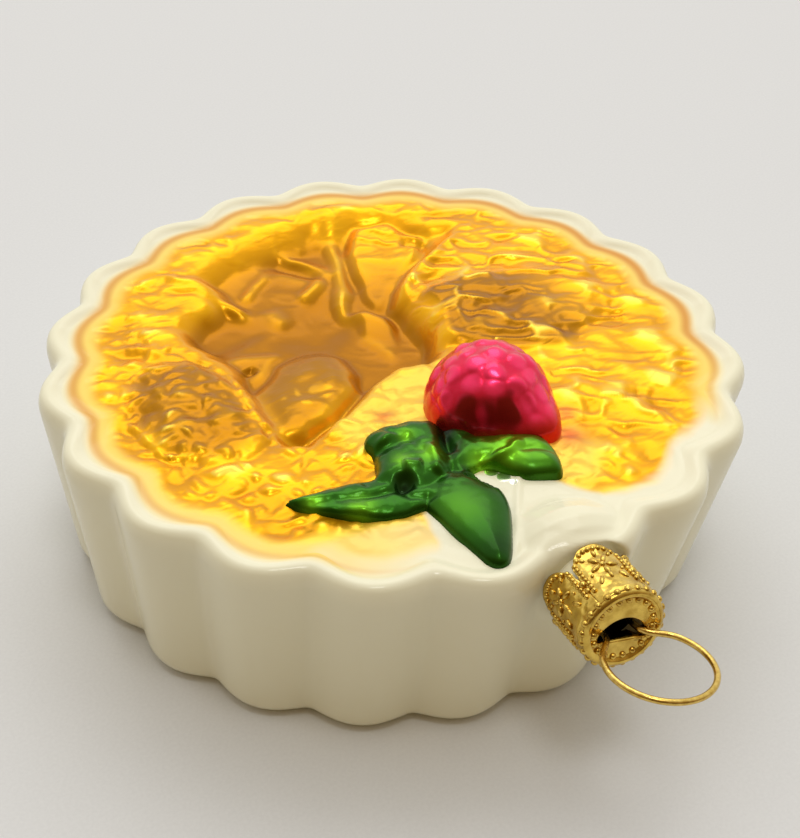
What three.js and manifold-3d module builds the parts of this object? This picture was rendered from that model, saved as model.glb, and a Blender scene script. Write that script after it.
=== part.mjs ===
// A blown-glass tree ornament in the shape of a creme brulee: a fluted dish with a cracked sugar
// crust, a raspberry and mint leaves, blown as one hollow glass piece with a neck at the rim, and
// closed by a stamped metal crown cap with a sprung wire loop. It lies on its flat base.
// Millimetres. Origin at the centre of the base, +Z up, the neck towards -Y.
import * as THREE from 'three';
import { mergeVertices } from 'three/addons/utils/BufferGeometryUtils.js';
import Module from 'manifold-3d';

const wasm = await Module();
wasm.setup();

// --- Driving dimensions -------------------------------------------------------------------------

// Fluted dish: each ring of the wall runs between a valley and a crest radius.
const LOBES = 20;
const STEPS_PER_LOBE = 6;
const FOOT_RADIUS = 2.6;
const BASE_RING = { valley: 36.4, crest: 38.0, soft: 0.2 };
const WALL_TOP_RING = { valley: 39.2, crest: 41.0, soft: 0.3 };
const CREASE_RING = { valley: 35.9, crest: 38.4, soft: 0.35 };
const WALL_TOP_Z = 22.6;
const WALL_ROWS = 4;
const FOOT_ROWS = 3;
// The rounded rim, from the wall over the top to the crease: share of the way in, and height.
const RIM_ROWS = [[0.15, 24.0], [0.45, 24.9], [0.8, 24.7], [1, 24.2]];
// The rim sits a little off the centre of the base, as hand-blown pieces do.
const RIM_OFFSET = { x: 1.04, y: -0.72 };
// One side is a little fuller than the rest: by a share of its radius, at the foot and at the rim.
const FULLER_SIDE = { angle: THREE.MathUtils.degToRad(-45), foot: 0.034, rim: 0.018, power: 6 };

// Cracked crust: the broken-in hollow, and the loose pieces of crust that stand in it or over it.
// Its rings turn from the scalloped crease into circles of the mean radius.
const CRUST_Z = 24.3;
const CRUST_RADIUS = 37;
const CRUST_ROWS = 12;
const CRUST_BLEND = 4;
const WRINKLE = { height: 0.15, first: [1.3, 0.6], second: [-0.5, 1.1] };
const HOLLOW_DEPTH = 4.4;
const HOLLOW_SLOPE = 5.0;
const SHARD_DROP = 4;
const HOLLOW_OUTLINE = [
  [-18.5, -9], [-18, 4], [-21, 10], [-22, 15], [-13, 18], [-9, 25], [0, 29], [9, 30],
  [17, 27], [24, 17.5], [9.5, 8], [9.5, 2], [7, -5], [2, -7.5], [-4, -6.5], [-14, -11.5],
];
const SHARDS = [
  { outline: [[-17.5, -1], [-12, 5], [-4, 5], [-3, 0], [-5, -5], [-10, -9], [-17, -10]],
    top: 23.4, tilt: [0.04, -0.05], edge: 2.4 },
  { outline: [[-31, 5], [-26, 11], [-20, 9.5], [-18, 5], [-18.5, -8], [-25, -9], [-31, -3]],
    top: 25.2, tilt: [0.02, 0.02], edge: 2.0 },
  { outline: [[9.5, 8], [20, 7.5], [33, 3.5], [30, -6], [18, -9], [9, -3]],
    top: 25.1, tilt: [-0.01, 0.03], edge: 2.0 },
  { outline: [[8.5, 28], [6, 19], [3, 11], [8, 10.5], [16, 18], [21, 24], [15, 27.5]],
    top: 21.6, tilt: [-0.05, 0.14], edge: 2.2 },
  { outline: [[-12, 19], [-5, 24], [3, 23], [1, 16], [-7, 13]],
    top: 22.4, tilt: [0.03, 0.05], edge: 2.2 },
];
const RIDGES = [
  { from: [9, 30], to: [-1, 1], width: 1.6, height: 1.5 },
  { from: [24, 18], to: [8, 8], width: 1.5, height: 1.2 },
];

// Raspberry: a dome that rises out of the crust, with a fuller skirt on its outer side.
const BERRY = { centre: [4.0, -15.9, 24.0], radii: [7.5, 7.5, 8.3], bump: 0.35 };
const BERRY_SKIRT = { centre: [5.2, -22.4, 24.2], radii: [3.0, 3.8, 3.2], bump: 0.15 };
const DRUPELETS = { round: 6, along: 9 };

// Mint leaves: midrib points, each with the half width there. A leaf's section is crowned, as
// [share of the half width, share of the crown], over a foot that is sunk into the crust.
const LEAF_SECTION = [[1, 0], [0.5, 0.8], [0, 1], [-0.5, 0.8], [-1, 0]];
const LEAF_CROWN = 1.5;
const LEAF_EDGE_DROP = 0.6;
const LEAF_ROOT_DEPTH = 2.5;
const LEAF_STATIONS = 8;
const LEAVES = [
  { midrib: [[-7, -22.4, 25.2], [-13, -22.4, 25.5], [-18.4, -20.6, 25.2], [-23.7, -18.4, 24.9]],
    widths: [1.6, 3.0, 2.3, 0.3] },
  { midrib: [[-5.5, -22.5, 25.2], [-8.4, -19.4, 25.8], [-8.6, -16.2, 25.6], [-9.6, -13.6, 24.9]],
    widths: [1.6, 4.0, 3.7, 1.6] },
  { midrib: [[-6, -22.6, 25.2], [-1.5, -23.4, 25.7], [2.3, -24.7, 25.6], [5.3, -28.0, 24.9]],
    widths: [1.6, 2.9, 4.0, 1.7] },
  { midrib: [[-6.5, -23, 25.2], [-7.6, -27.4, 25.8], [-8.4, -31.8, 25.7], [-10.3, -37.2, 24.9]],
    widths: [1.6, 3.7, 3.2, 0.4] },
];

// Hanger: the cap's outer face is the local origin, with local +Z pointing out along the neck.
const CAP_FACE = { x: -3.4, y: -48.6, z: 21.6 };
const CAP_YAW = THREE.MathUtils.degToRad(11.2);
const CAP_PITCH = THREE.MathUtils.degToRad(8.4);
const CAP_ROLL = THREE.MathUtils.degToRad(-8);
const CAP_RADIUS = 4.7;
const CAP_LENGTH = 8.0;
const CAP_SHEET = 0.4;
const CAP_BEAD = { swell: 0.2, z: -1.1, end: -1.7 };
const PETALS = 5;
// The gap between two petals: a V at the mouth that runs up into a narrow slit.
const NOTCH = {
  turn: THREE.MathUtils.degToRad(62), mouth: 1.5, vee: 1.6, veeTop: 0.2, slit: 3.2, slitHalf: 0.15,
};
const SLOT = { halfWidth: 2.9, bottom: -1.3, top: 1.1 };
const NECK_RADIUS = 3.7;
const NECK_BORE = { radius: 2.9, depth: 6.5 };
const NECK_END = 1.5;
// The neck swells as it runs into the dish: [radius, place along the neck].
const NECK_FLARE = [
  [3.7, -7.6], [4.0, -8.6], [4.7, -9.8], [5.3, -11.6], [5.6, -14.2], [5.3, -18], [4.2, -21.5],
];
const NECK_ROOT = -22.5;
const CAP_CLEARANCE = 0.35;
// Cutters reach this far past the face that they open.
const PAST = 2;
const WIRE_RADIUS = 0.35;
const LOOP = { radius: 5.4, centreAcross: 0.9, centreOut: 4.9, drop: -0.6, open: 40 };
const LEG = { across: 1.8, inside: -5.0, mouth: -0.2 };
const NECK_SEGMENTS = 28;
const CAP_SEGMENTS = 40;

// --- Helpers ------------------------------------------------------------------------------------

// A closed triangle mesh as a solid that can be joined and cut.
function toSolid(geometry) {
  const bare = geometry.clone();
  for (const name of Object.keys(bare.attributes)) {
    if (name !== 'position') bare.deleteAttribute(name);
  }
  const merged = mergeVertices(bare, 1e-4);
  return new wasm.Manifold(new wasm.Mesh({
    numProp: 3,
    vertProperties: new Float32Array(merged.attributes.position.array),
    triVerts: new Uint32Array(merged.index.array),
  }));
}

function toGeometry(solid) {
  const mesh = solid.getMesh();
  const geometry = new THREE.BufferGeometry();
  geometry.setAttribute('position', new THREE.BufferAttribute(mesh.vertProperties, 3));
  geometry.setIndex(new THREE.BufferAttribute(mesh.triVerts, 1));
  geometry.computeVertexNormals();
  return geometry;
}

// A skin over rings of points, closed by a point at each end. The rings run anticlockwise as seen
// from beyond the last one.
function skin(start, rings, end) {
  const across = rings[0].length;
  const positions = [...start];
  for (const ring of rings) {
    for (const point of ring) positions.push(...point);
  }
  positions.push(...end);
  const last = 1 + rings.length * across;
  const at = (row, column) => 1 + row * across + (column % across);
  const index = [];
  for (let column = 0; column < across; column++) {
    index.push(0, at(0, column + 1), at(0, column));
    index.push(last, at(rings.length - 1, column), at(rings.length - 1, column + 1));
    for (let row = 0; row + 1 < rings.length; row++) {
      index.push(at(row, column), at(row, column + 1), at(row + 1, column + 1));
      index.push(at(row, column), at(row + 1, column + 1), at(row + 1, column));
    }
  }
  const geometry = new THREE.BufferGeometry();
  geometry.setAttribute('position', new THREE.Float32BufferAttribute(positions, 3));
  geometry.setIndex(index);
  return geometry;
}

const lerp = THREE.MathUtils.lerp;
const smoothstep = THREE.MathUtils.smoothstep;

// How far a point lies inside a closed outline: positive inside, negative outside.
function inset(outline, x, y) {
  let nearest = Infinity;
  let inside = false;
  outline.forEach(([ax, ay], i) => {
    const [bx, by] = outline[(i + 1) % outline.length];
    nearest = Math.min(nearest, distanceToLine(ax, ay, bx, by, x, y));
    const crosses = (ay > y) !== (by > y);
    if (crosses && x < ax + ((bx - ax) * (y - ay)) / (by - ay)) inside = !inside;
  });
  return inside ? nearest : -nearest;
}

function distanceToLine(ax, ay, bx, by, x, y) {
  const dx = bx - ax;
  const dy = by - ay;
  const along = THREE.MathUtils.clamp(((x - ax) * dx + (y - ay) * dy) / (dx * dx + dy * dy), 0, 1);
  return Math.hypot(x - ax - along * dx, y - ay - along * dy);
}

// --- Dish ---------------------------------------------------------------------------------------

// 1 on the crest of a lobe and 0 in the valley; a larger softness rounds the valley.
function lobe(angle, soft) {
  const wave = Math.sqrt(Math.cos((LOBES / 2) * angle) ** 2 + soft * soft) - soft;
  return wave / (Math.sqrt(1 + soft * soft) - soft);
}

function ringRadius(ring, angle) {
  return lerp(ring.valley, ring.crest, lobe(angle, ring.soft));
}

// How far up the wall a height is: the rim's offset from the base grows evenly with it.
function shareUp(z) {
  return Math.min(z / WALL_TOP_Z, 1);
}

function fuller(angle, z) {
  const facing = Math.max(0, Math.cos(angle - FULLER_SIDE.angle));
  return 1 + lerp(FULLER_SIDE.foot, FULLER_SIDE.rim, shareUp(z)) * facing ** FULLER_SIDE.power;
}

function ringPoints(z, radiusAt) {
  const count = LOBES * STEPS_PER_LOBE;
  const points = [];
  for (let i = 0; i < count; i++) {
    const angle = (i / count) * Math.PI * 2;
    const r = radiusAt(angle) * fuller(angle, z);
    const x = r * Math.cos(angle) + RIM_OFFSET.x * shareUp(z);
    const y = r * Math.sin(angle) + RIM_OFFSET.y * shareUp(z);
    points.push([x, y, z]);
  }
  return points;
}

function hollow(x, y) {
  return HOLLOW_DEPTH * smoothstep(inset(HOLLOW_OUTLINE, x, y), 0, HOLLOW_SLOPE);
}

function shardHeight(shard, x, y) {
  const depth = inset(shard.outline, x, y);
  const [cx, cy] = shard.outline[0];
  const plane = shard.top + shard.tilt[0] * (x - cx) + shard.tilt[1] * (y - cy);
  return plane - SHARD_DROP * (1 - smoothstep(depth, -1, shard.edge));
}

function ridgeHeight(ridge, x, y) {
  const away = distanceToLine(...ridge.from, ...ridge.to, x, y);
  return ridge.height * Math.exp(-((away / ridge.width) ** 2));
}

function wrinkle(x, y) {
  const wave = ([a, b]) => Math.sin(a * x + b * y);
  return WRINKLE.height * wave(WRINKLE.first) * wave(WRINKLE.second);
}

// The height of the crust, with its hollow, its loose shards, its ridges and its wrinkles.
function crustHeight(x, y) {
  let z = CRUST_Z - hollow(x, y);
  for (const shard of SHARDS) z = Math.max(z, shardHeight(shard, x, y));
  for (const ridge of RIDGES) z += ridgeHeight(ridge, x, y);
  return z + wrinkle(x, y);
}

function dishSolid() {
  const rings = [];
  for (let i = 0; i <= FOOT_ROWS; i++) {
    const turn = ((i / FOOT_ROWS) * Math.PI) / 2;
    const back = FOOT_RADIUS * (1 - Math.sin(turn));
    const z = FOOT_RADIUS * (1 - Math.cos(turn));
    rings.push(ringPoints(z, (angle) => ringRadius(BASE_RING, angle) - back));
  }
  for (let i = 1; i <= WALL_ROWS; i++) {
    const f = i / WALL_ROWS;
    const z = lerp(FOOT_RADIUS, WALL_TOP_Z, f);
    rings.push(ringPoints(z, (a) => lerp(ringRadius(BASE_RING, a), ringRadius(WALL_TOP_RING, a), f)));
  }
  for (const [f, z] of RIM_ROWS) {
    rings.push(ringPoints(z, (a) => lerp(ringRadius(WALL_TOP_RING, a), ringRadius(CREASE_RING, a), f)));
  }
  for (let i = 1; i < CRUST_ROWS; i++) {
    const f = 1 - i / CRUST_ROWS;
    const radiusAt = (a) => f * lerp(CRUST_RADIUS, ringRadius(CREASE_RING, a), f ** CRUST_BLEND);
    const ring = ringPoints(CRUST_Z, radiusAt);
    rings.push(ring.map(([x, y]) => [x, y, crustHeight(x, y)]));
  }
  const { x, y } = RIM_OFFSET;
  return toSolid(skin([0, 0, 0], rings, [x, y, crustHeight(x, y)]));
}

// --- Toppings -----------------------------------------------------------------------------------

function berrySolid({ centre, radii, bump }) {
  const geometry = new THREE.SphereGeometry(1, 22, 14);
  const position = geometry.attributes.position;
  const p = new THREE.Vector3();
  for (let i = 0; i < position.count; i++) {
    p.fromBufferAttribute(position, i);
    // Rows of soft drupelets, fading out at the poles of the sphere where its vertices meet.
    const round = Math.hypot(p.x, p.z);
    const rows = Math.sin(DRUPELETS.round * Math.atan2(p.z, p.x));
    const drupelets = rows * Math.sin(DRUPELETS.along * p.y) * round;
    const grow = 1 + (bump * drupelets) / radii[0];
    position.setXYZ(i, p.x * radii[0] * grow, p.y * radii[1] * grow, p.z * radii[2] * grow);
  }
  geometry.translate(...centre);
  return toSolid(geometry);
}

// A leaf with a crowned top and a flat underside that is sunk into the crust.
function leafSolid({ midrib, widths }) {
  const curve = new THREE.CatmullRomCurve3(midrib.map((point) => new THREE.Vector3(...point)));
  const rings = [];
  for (let i = 0; i < LEAF_STATIONS; i++) {
    const t = lerp(0.02, 0.98, i / (LEAF_STATIONS - 1));
    const middle = curve.getPointAt(t);
    const along = curve.getTangentAt(t);
    const side = new THREE.Vector3(along.y, -along.x, 0).normalize();
    const width = widthAt(widths, curve.getUtoTmapping(t));
    const crown = LEAF_CROWN * Math.min(1, width / 2);
    const ring = LEAF_SECTION.map(([across, up]) => [
      middle.x + side.x * width * across,
      middle.y + side.y * width * across,
      middle.z - LEAF_EDGE_DROP + crown * up,
    ]);
    const foot = middle.z - LEAF_ROOT_DEPTH;
    ring.push([middle.x - side.x * width, middle.y - side.y * width, foot]);
    ring.push([middle.x + side.x * width, middle.y + side.y * width, foot]);
    rings.push(ring.reverse());
  }
  const tip = curve.getPointAt(1);
  const root = curve.getPointAt(0);
  return toSolid(skin([root.x, root.y, root.z - 1], rings, [tip.x, tip.y, tip.z - 1]));
}

function widthAt(widths, t) {
  const place = t * (widths.length - 1);
  const i = Math.min(Math.floor(place), widths.length - 2);
  return lerp(widths[i], widths[i + 1], smoothstep(place - i, 0, 1));
}

// --- Hanger, in the frame of the cap's outer face -----------------------------------------------

function hangerMatrix() {
  const turn = new THREE.Matrix4().makeRotationZ(-CAP_YAW);
  turn.multiply(new THREE.Matrix4().makeRotationX(Math.PI / 2 - CAP_PITCH));
  turn.multiply(new THREE.Matrix4().makeRotationZ(CAP_ROLL));
  turn.setPosition(CAP_FACE.x, CAP_FACE.y, CAP_FACE.z);
  return turn;
}

function latheSolid(profile, segments) {
  const points = profile.map(([r, z]) => new THREE.Vector2(r, z));
  const geometry = new THREE.LatheGeometry(points, segments);
  geometry.rotateX(Math.PI / 2);
  return toSolid(geometry);
}

// The glass neck: a tube that flares into the dish, with its open bore under the cap.
function neckSolid() {
  const { radius, depth } = NECK_BORE;
  const bottom = -NECK_END - depth;
  const profile = [
    [0, bottom], [radius, bottom], [radius, -NECK_END], [NECK_RADIUS, -NECK_END],
    ...NECK_FLARE, [0, NECK_ROOT],
  ];
  return latheSolid(profile.reverse(), NECK_SEGMENTS);
}

// The bore alone, to cut it out of the dish as well.
function boreSolid() {
  const { radius, depth } = NECK_BORE;
  const bottom = -NECK_END - depth;
  return latheSolid([[0, bottom], [radius, bottom], [radius, PAST], [0, PAST]], NECK_SEGMENTS);
}

// The room that the cap takes round the neck.
function capRoomSolid() {
  const inner = NECK_RADIUS + 0.02;
  const outer = CAP_RADIUS + CAP_BEAD.swell + CAP_CLEARANCE;
  const end = -CAP_LENGTH - CAP_CLEARANCE;
  const profile = [[inner, end], [outer, end], [outer, PAST], [inner, PAST], [inner, end]];
  return latheSolid(profile, NECK_SEGMENTS);
}

// The stamped cup: a face with a rounded edge, a beaded shoulder and a slightly flared skirt.
function capSolid() {
  const inside = CAP_RADIUS - CAP_SHEET;
  const cup = latheSolid([
    [0, 0], [CAP_RADIUS - 0.8, 0], [CAP_RADIUS, -0.6], [CAP_RADIUS + CAP_BEAD.swell, CAP_BEAD.z],
    [CAP_RADIUS, CAP_BEAD.end], [CAP_RADIUS + 0.1, -CAP_LENGTH], [inside + 0.1, -CAP_LENGTH],
    [inside, -1.2], [inside - 0.7, -CAP_SHEET], [0, -CAP_SHEET],
  ].reverse(), CAP_SEGMENTS);
  let cap = cup.subtract(slotSolid());
  for (let i = 0; i < PETALS; i++) {
    cap = cap.subtract(notchSolid(NOTCH.turn + (i / PETALS) * Math.PI * 2));
  }
  return cap;
}

// The D-shaped opening in the cap's face, where the wire goes in.
function slotSolid() {
  const { halfWidth, bottom, top } = SLOT;
  const rise = top - bottom;
  const radius = (halfWidth ** 2 + rise ** 2) / (2 * rise);
  const middle = top - radius;
  const start = Math.atan2(bottom - middle, halfWidth);
  const shape = new THREE.Shape();
  shape.moveTo(-halfWidth, bottom);
  shape.lineTo(halfWidth, bottom);
  shape.absarc(0, middle, radius, start, Math.PI - start, false);
  const options = { depth: 2 * PAST, bevelEnabled: false, curveSegments: 10 };
  const geometry = new THREE.ExtrudeGeometry(shape, options);
  geometry.translate(0, 0, -PAST);
  return toSolid(geometry);
}

// The gap between two petals, cut through one side of the skirt.
function notchSolid(angle) {
  const { mouth, vee, veeTop, slit, slitHalf } = NOTCH;
  const shape = new THREE.Shape();
  shape.moveTo(-slitHalf, -CAP_LENGTH + slit);
  shape.lineTo(-veeTop, -CAP_LENGTH + vee);
  shape.lineTo(-mouth, -CAP_LENGTH - 0.1);
  shape.lineTo(mouth, -CAP_LENGTH - 0.1);
  shape.lineTo(veeTop, -CAP_LENGTH + vee);
  shape.lineTo(slitHalf, -CAP_LENGTH + slit);
  const geometry = new THREE.ExtrudeGeometry(shape, { depth: PAST, bevelEnabled: false });
  geometry.translate(0, 0, CAP_RADIUS - PAST / 2);
  geometry.rotateX(Math.PI / 2);
  geometry.rotateZ(angle);
  return toSolid(geometry);
}

// The wire: one leg out of the neck, round the open loop and back in.
function wireCurve() {
  const points = [
    new THREE.Vector3(-LEG.across, LOOP.drop, LEG.inside),
    new THREE.Vector3(-LEG.across, LOOP.drop, LEG.mouth),
  ];
  const stops = 12;
  for (let i = 0; i <= stops; i++) {
    const angle = THREE.MathUtils.degToRad(lerp(-180 + LOOP.open, 180 - LOOP.open, i / stops));
    const across = LOOP.centreAcross + LOOP.radius * Math.sin(angle);
    points.push(new THREE.Vector3(across, LOOP.drop, LOOP.centreOut + LOOP.radius * Math.cos(angle)));
  }
  points.push(new THREE.Vector3(LEG.across, LOOP.drop, LEG.mouth));
  points.push(new THREE.Vector3(LEG.across, LOOP.drop, LEG.inside));
  return new THREE.CatmullRomCurve3(points, false, 'centripetal');
}

function wireGeometry() {
  const section = new THREE.Shape();
  section.absarc(0, 0, WIRE_RADIUS, 0, Math.PI * 2, false);
  const options = { steps: 56, bevelEnabled: false, extrudePath: wireCurve(), curveSegments: 5 };
  return toGeometry(toSolid(new THREE.ExtrudeGeometry(section, options)));
}

// --- The object ---------------------------------------------------------------------------------

function glassGeometry() {
  const hanger = hangerMatrix().toArray();
  let glass = dishSolid();
  glass = glass.add(berrySolid(BERRY)).add(berrySolid(BERRY_SKIRT));
  for (const leaf of LEAVES) glass = glass.add(leafSolid(leaf));
  glass = glass.subtract(boreSolid().transform(hanger));
  glass = glass.subtract(capRoomSolid().transform(hanger));
  return toGeometry(glass.add(neckSolid().transform(hanger)));
}

function node(name, geometry, color, roughness, metalness) {
  const material = new THREE.MeshStandardMaterial({ color, roughness, metalness });
  const mesh = new THREE.Mesh(geometry, material);
  mesh.name = name;
  return mesh;
}

const group = new THREE.Group();
group.add(node('glass_body', glassGeometry(), 0xf0ead2, 0.2, 0.0));

const hanger = new THREE.Group();
hanger.applyMatrix4(hangerMatrix());
hanger.add(node('crown_cap', toGeometry(capSolid()), 0xc9a23e, 0.3, 1.0));
hanger.add(node('wire_loop', wireGeometry(), 0xc9a23e, 0.25, 1.0));
group.add(hanger);

export default group;
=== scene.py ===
"""Looks of a blown-glass tree ornament in the shape of a creme brulee, lying on its flat base.

The shell is blown in a mould, silvered inside and lacquered outside: opaque cream-white on the
dish, clear yellow over the cracked crust, clear red on the raspberry and clear green on the mint.
A stamped crown cap and a sprung wire loop close its neck. Shapes are worked out in millimetres in
the frame of the CAD model, and build() and wire_loop() turn them into metres.
"""
import math

import bpy
import numpy as np
from mathutils import Matrix, Vector


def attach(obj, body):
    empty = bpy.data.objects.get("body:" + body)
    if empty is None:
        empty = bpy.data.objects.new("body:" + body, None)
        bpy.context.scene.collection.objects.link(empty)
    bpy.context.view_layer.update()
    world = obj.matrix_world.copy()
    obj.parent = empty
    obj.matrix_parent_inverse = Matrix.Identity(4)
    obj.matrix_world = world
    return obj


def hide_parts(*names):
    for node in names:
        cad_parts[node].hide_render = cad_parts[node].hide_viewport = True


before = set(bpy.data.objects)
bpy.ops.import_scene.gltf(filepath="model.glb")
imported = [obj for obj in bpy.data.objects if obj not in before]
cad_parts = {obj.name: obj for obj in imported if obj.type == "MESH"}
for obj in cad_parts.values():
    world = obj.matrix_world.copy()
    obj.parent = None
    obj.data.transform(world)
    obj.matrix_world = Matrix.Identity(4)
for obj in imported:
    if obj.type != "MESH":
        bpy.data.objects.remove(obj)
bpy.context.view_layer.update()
MM = 0.001

# --- Driving sizes of the glass, in millimetres ---------------------------------------------------

LOBES = 20
BASE_RING = (36.4, 38.0, 0.2)       # valley radius, crest radius, softness of the valley
WALL_TOP_RING = (39.2, 41.0, 0.3)
CREASE_RING = (35.9, 38.4, 0.35)
FOOT_RADIUS = 2.6
WALL_TOP_Z = 22.6
CRUST_Z = 24.3
CREASE_Z = 24.36
CRUST_RADIUS = 37.0
RIM_OFFSET = (1.04, -0.72)
FULLER_SIDE = {"angle": math.radians(-45), "foot": 0.034, "rim": 0.018, "power": 6}
INSIDE_CAD = 0.02                   # the pieces stay this far inside the CAD solids' outline

# The rounded rim, from the crease over the top to the wall: share of the way in, and height.
RIM_PROFILE = [(1, CREASE_Z), (0.85, 24.48), (0.62, 24.84), (0.36, 24.9), (0.12, 24.5), (0.0, 23.5),
               (0, WALL_TOP_Z)]

DISC_CELLS = 260                    # the crust is a square grid bent into a disc
RIM_ROWS = 12
WALL_ROWS = 9
FOOT_ROWS = 5
BASE_ROWS = 2

# --- Small helpers --------------------------------------------------------------------------------


def ease(t):
    t = np.clip(t, 0, 1)
    return t * t * t * (t * (6 * t - 15) + 10)


def step(value, low, high):
    """0 below low and 1 above high, smooth between them."""
    return ease((value - low) / (high - low))


def blend(a, b, share):
    return a + (b - a) * share


def soft_max(a, b, reach):
    """The higher of two surfaces, with a fillet where they cross."""
    near = np.clip(reach - np.abs(a - b), 0, None)
    return np.maximum(a, b) + near * near / (4 * reach)


def hills(x, y, size, seed):
    """Smooth hills and dips from -1 to 1, about size across."""
    table = np.random.default_rng(seed).uniform(-1, 1, (64, 64))
    u, v = x / size, y / size
    i, j = np.floor(u).astype(int), np.floor(v).astype(int)
    fu, fv = ease(u - i), ease(v - j)
    near = blend(table[i % 64, j % 64], table[(i + 1) % 64, j % 64], fu)
    far = blend(table[i % 64, (j + 1) % 64], table[(i + 1) % 64, (j + 1) % 64], fu)
    return blend(near, far, fv)


def pebbles(x, y, size, seed):
    """Rounded lumps about size across: 1 on top of each lump, 0 in the creases between them."""
    shift = np.random.default_rng(seed).uniform(-0.42, 0.42, (2, 64, 64))
    u, v = x / size, y / size
    i, j = np.floor(u).astype(int), np.floor(v).astype(int)
    first, second = np.full(x.shape, 9.0), np.full(x.shape, 9.0)
    for a in (-1, 0, 1):
        for b in (-1, 0, 1):
            cell = (i + a) % 64, (j + b) % 64
            away = np.hypot(u - (i + a + 0.5 + shift[0][cell]), v - (j + b + 0.5 + shift[1][cell]))
            second = np.where(away < first, first, np.minimum(second, away))
            first = np.minimum(first, away)
    return ease((second - first) * 0.9)


def to_line(points, x, y):
    """Distance to a bent line, and how far along it the nearest point lies, from 0 to 1."""
    nearest, along = np.full(np.shape(x), 1e9), np.zeros(np.shape(x))
    steps = len(points) - 1
    for k, ((ax, ay), (bx, by)) in enumerate(zip(points[:-1], points[1:])):
        dx, dy = bx - ax, by - ay
        t = np.clip(((x - ax) * dx + (y - ay) * dy) / (dx * dx + dy * dy), 0, 1)
        away = np.hypot(x - ax - t * dx, y - ay - t * dy)
        along = np.where(away < nearest, (k + t) / steps, along)
        nearest = np.minimum(nearest, away)
    return nearest, along


def round_off(points, times=2):
    """Cuts the corners of a bent line, keeping its ends."""
    points = np.asarray(points, float)
    for _ in range(times):
        a, b = points[:-1], points[1:]
        cut = np.stack([blend(a, b, 0.25), blend(a, b, 0.75)], 1).reshape(-1, points.shape[1])
        points = np.concatenate([points[:1], cut, points[-1:]])
    return points


def inset(outline, x, y):
    """How far points lie inside a closed outline; negative outside it."""
    closed = list(outline) + [outline[0]]
    inside = np.zeros(np.shape(x), bool)
    for (ax, ay), (bx, by) in zip(closed[:-1], closed[1:]):
        if ay != by:
            crosses = (ay > y) != (by > y)
            inside ^= crosses & (x < ax + (bx - ax) * (y - ay) / (by - ay))
    return np.where(inside, 1, -1) * to_line(closed, x, y)[0]


def ring_quads(rings, around):
    """Faces between rings of points, each ring having as many points around."""
    faces = []
    for r in range(rings - 1):
        for c in range(around):
            n = (c + 1) % around
            faces.append([r * around + c, (r + 1) * around + c, (r + 1) * around + n, r * around + n])
    return faces


def build(name, points_mm, faces, fields=None, smooth=True):
    """A mesh object from points in millimetres, with named per-vertex values for its material."""
    mesh = bpy.data.meshes.new(name)
    mesh.from_pydata((np.asarray(points_mm) * MM).tolist(), [], faces)
    mesh.validate()
    for field, values in (fields or {}).items():
        layer = mesh.attributes.new(field, "FLOAT", "POINT")
        layer.data.foreach_set("value", np.asarray(values, np.float32))
    mesh.polygons.foreach_set("use_smooth", [smooth] * len(mesh.polygons))
    made = bpy.data.objects.new(name, mesh)
    bpy.context.scene.collection.objects.link(made)
    return made


# --- The dish and its crust -----------------------------------------------------------------------

# Outline of the broken-in hollow, at the level of the crust.
HOLLOW = [
    (-19.3, -8.5), (-18.3, -3), (-17.8, 2), (-18.2, 7), (-20, 10), (-21.3, 13.5), (-20, 18),
    (-16, 21), (-13.5, 23), (-12.5, 27), (-7, 30), (0, 31.5), (9, 32), (16, 29.5), (21, 24.5),
    (25.5, 18), (16, 12.5), (9.3, 8), (9.3, 3), (8, -1), (6.8, -5), (3, -6), (0, -5), (-4, -6.3),
    (-8, -8.5), (-13, -11), (-17, -11.5),
]
HOLLOW_DEPTH = 3.6                  # where the floor is highest; its swells go down from there
FLOOR_SWELL = 1.9
CRUST_GRID = {"reach": 44, "pitch": 0.35}
ROUNDING = {"spread": 0.4, "cells": 6}
COMBED = math.radians(-32)          # the crust's lumps and wrinkles are drawn out this way

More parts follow.
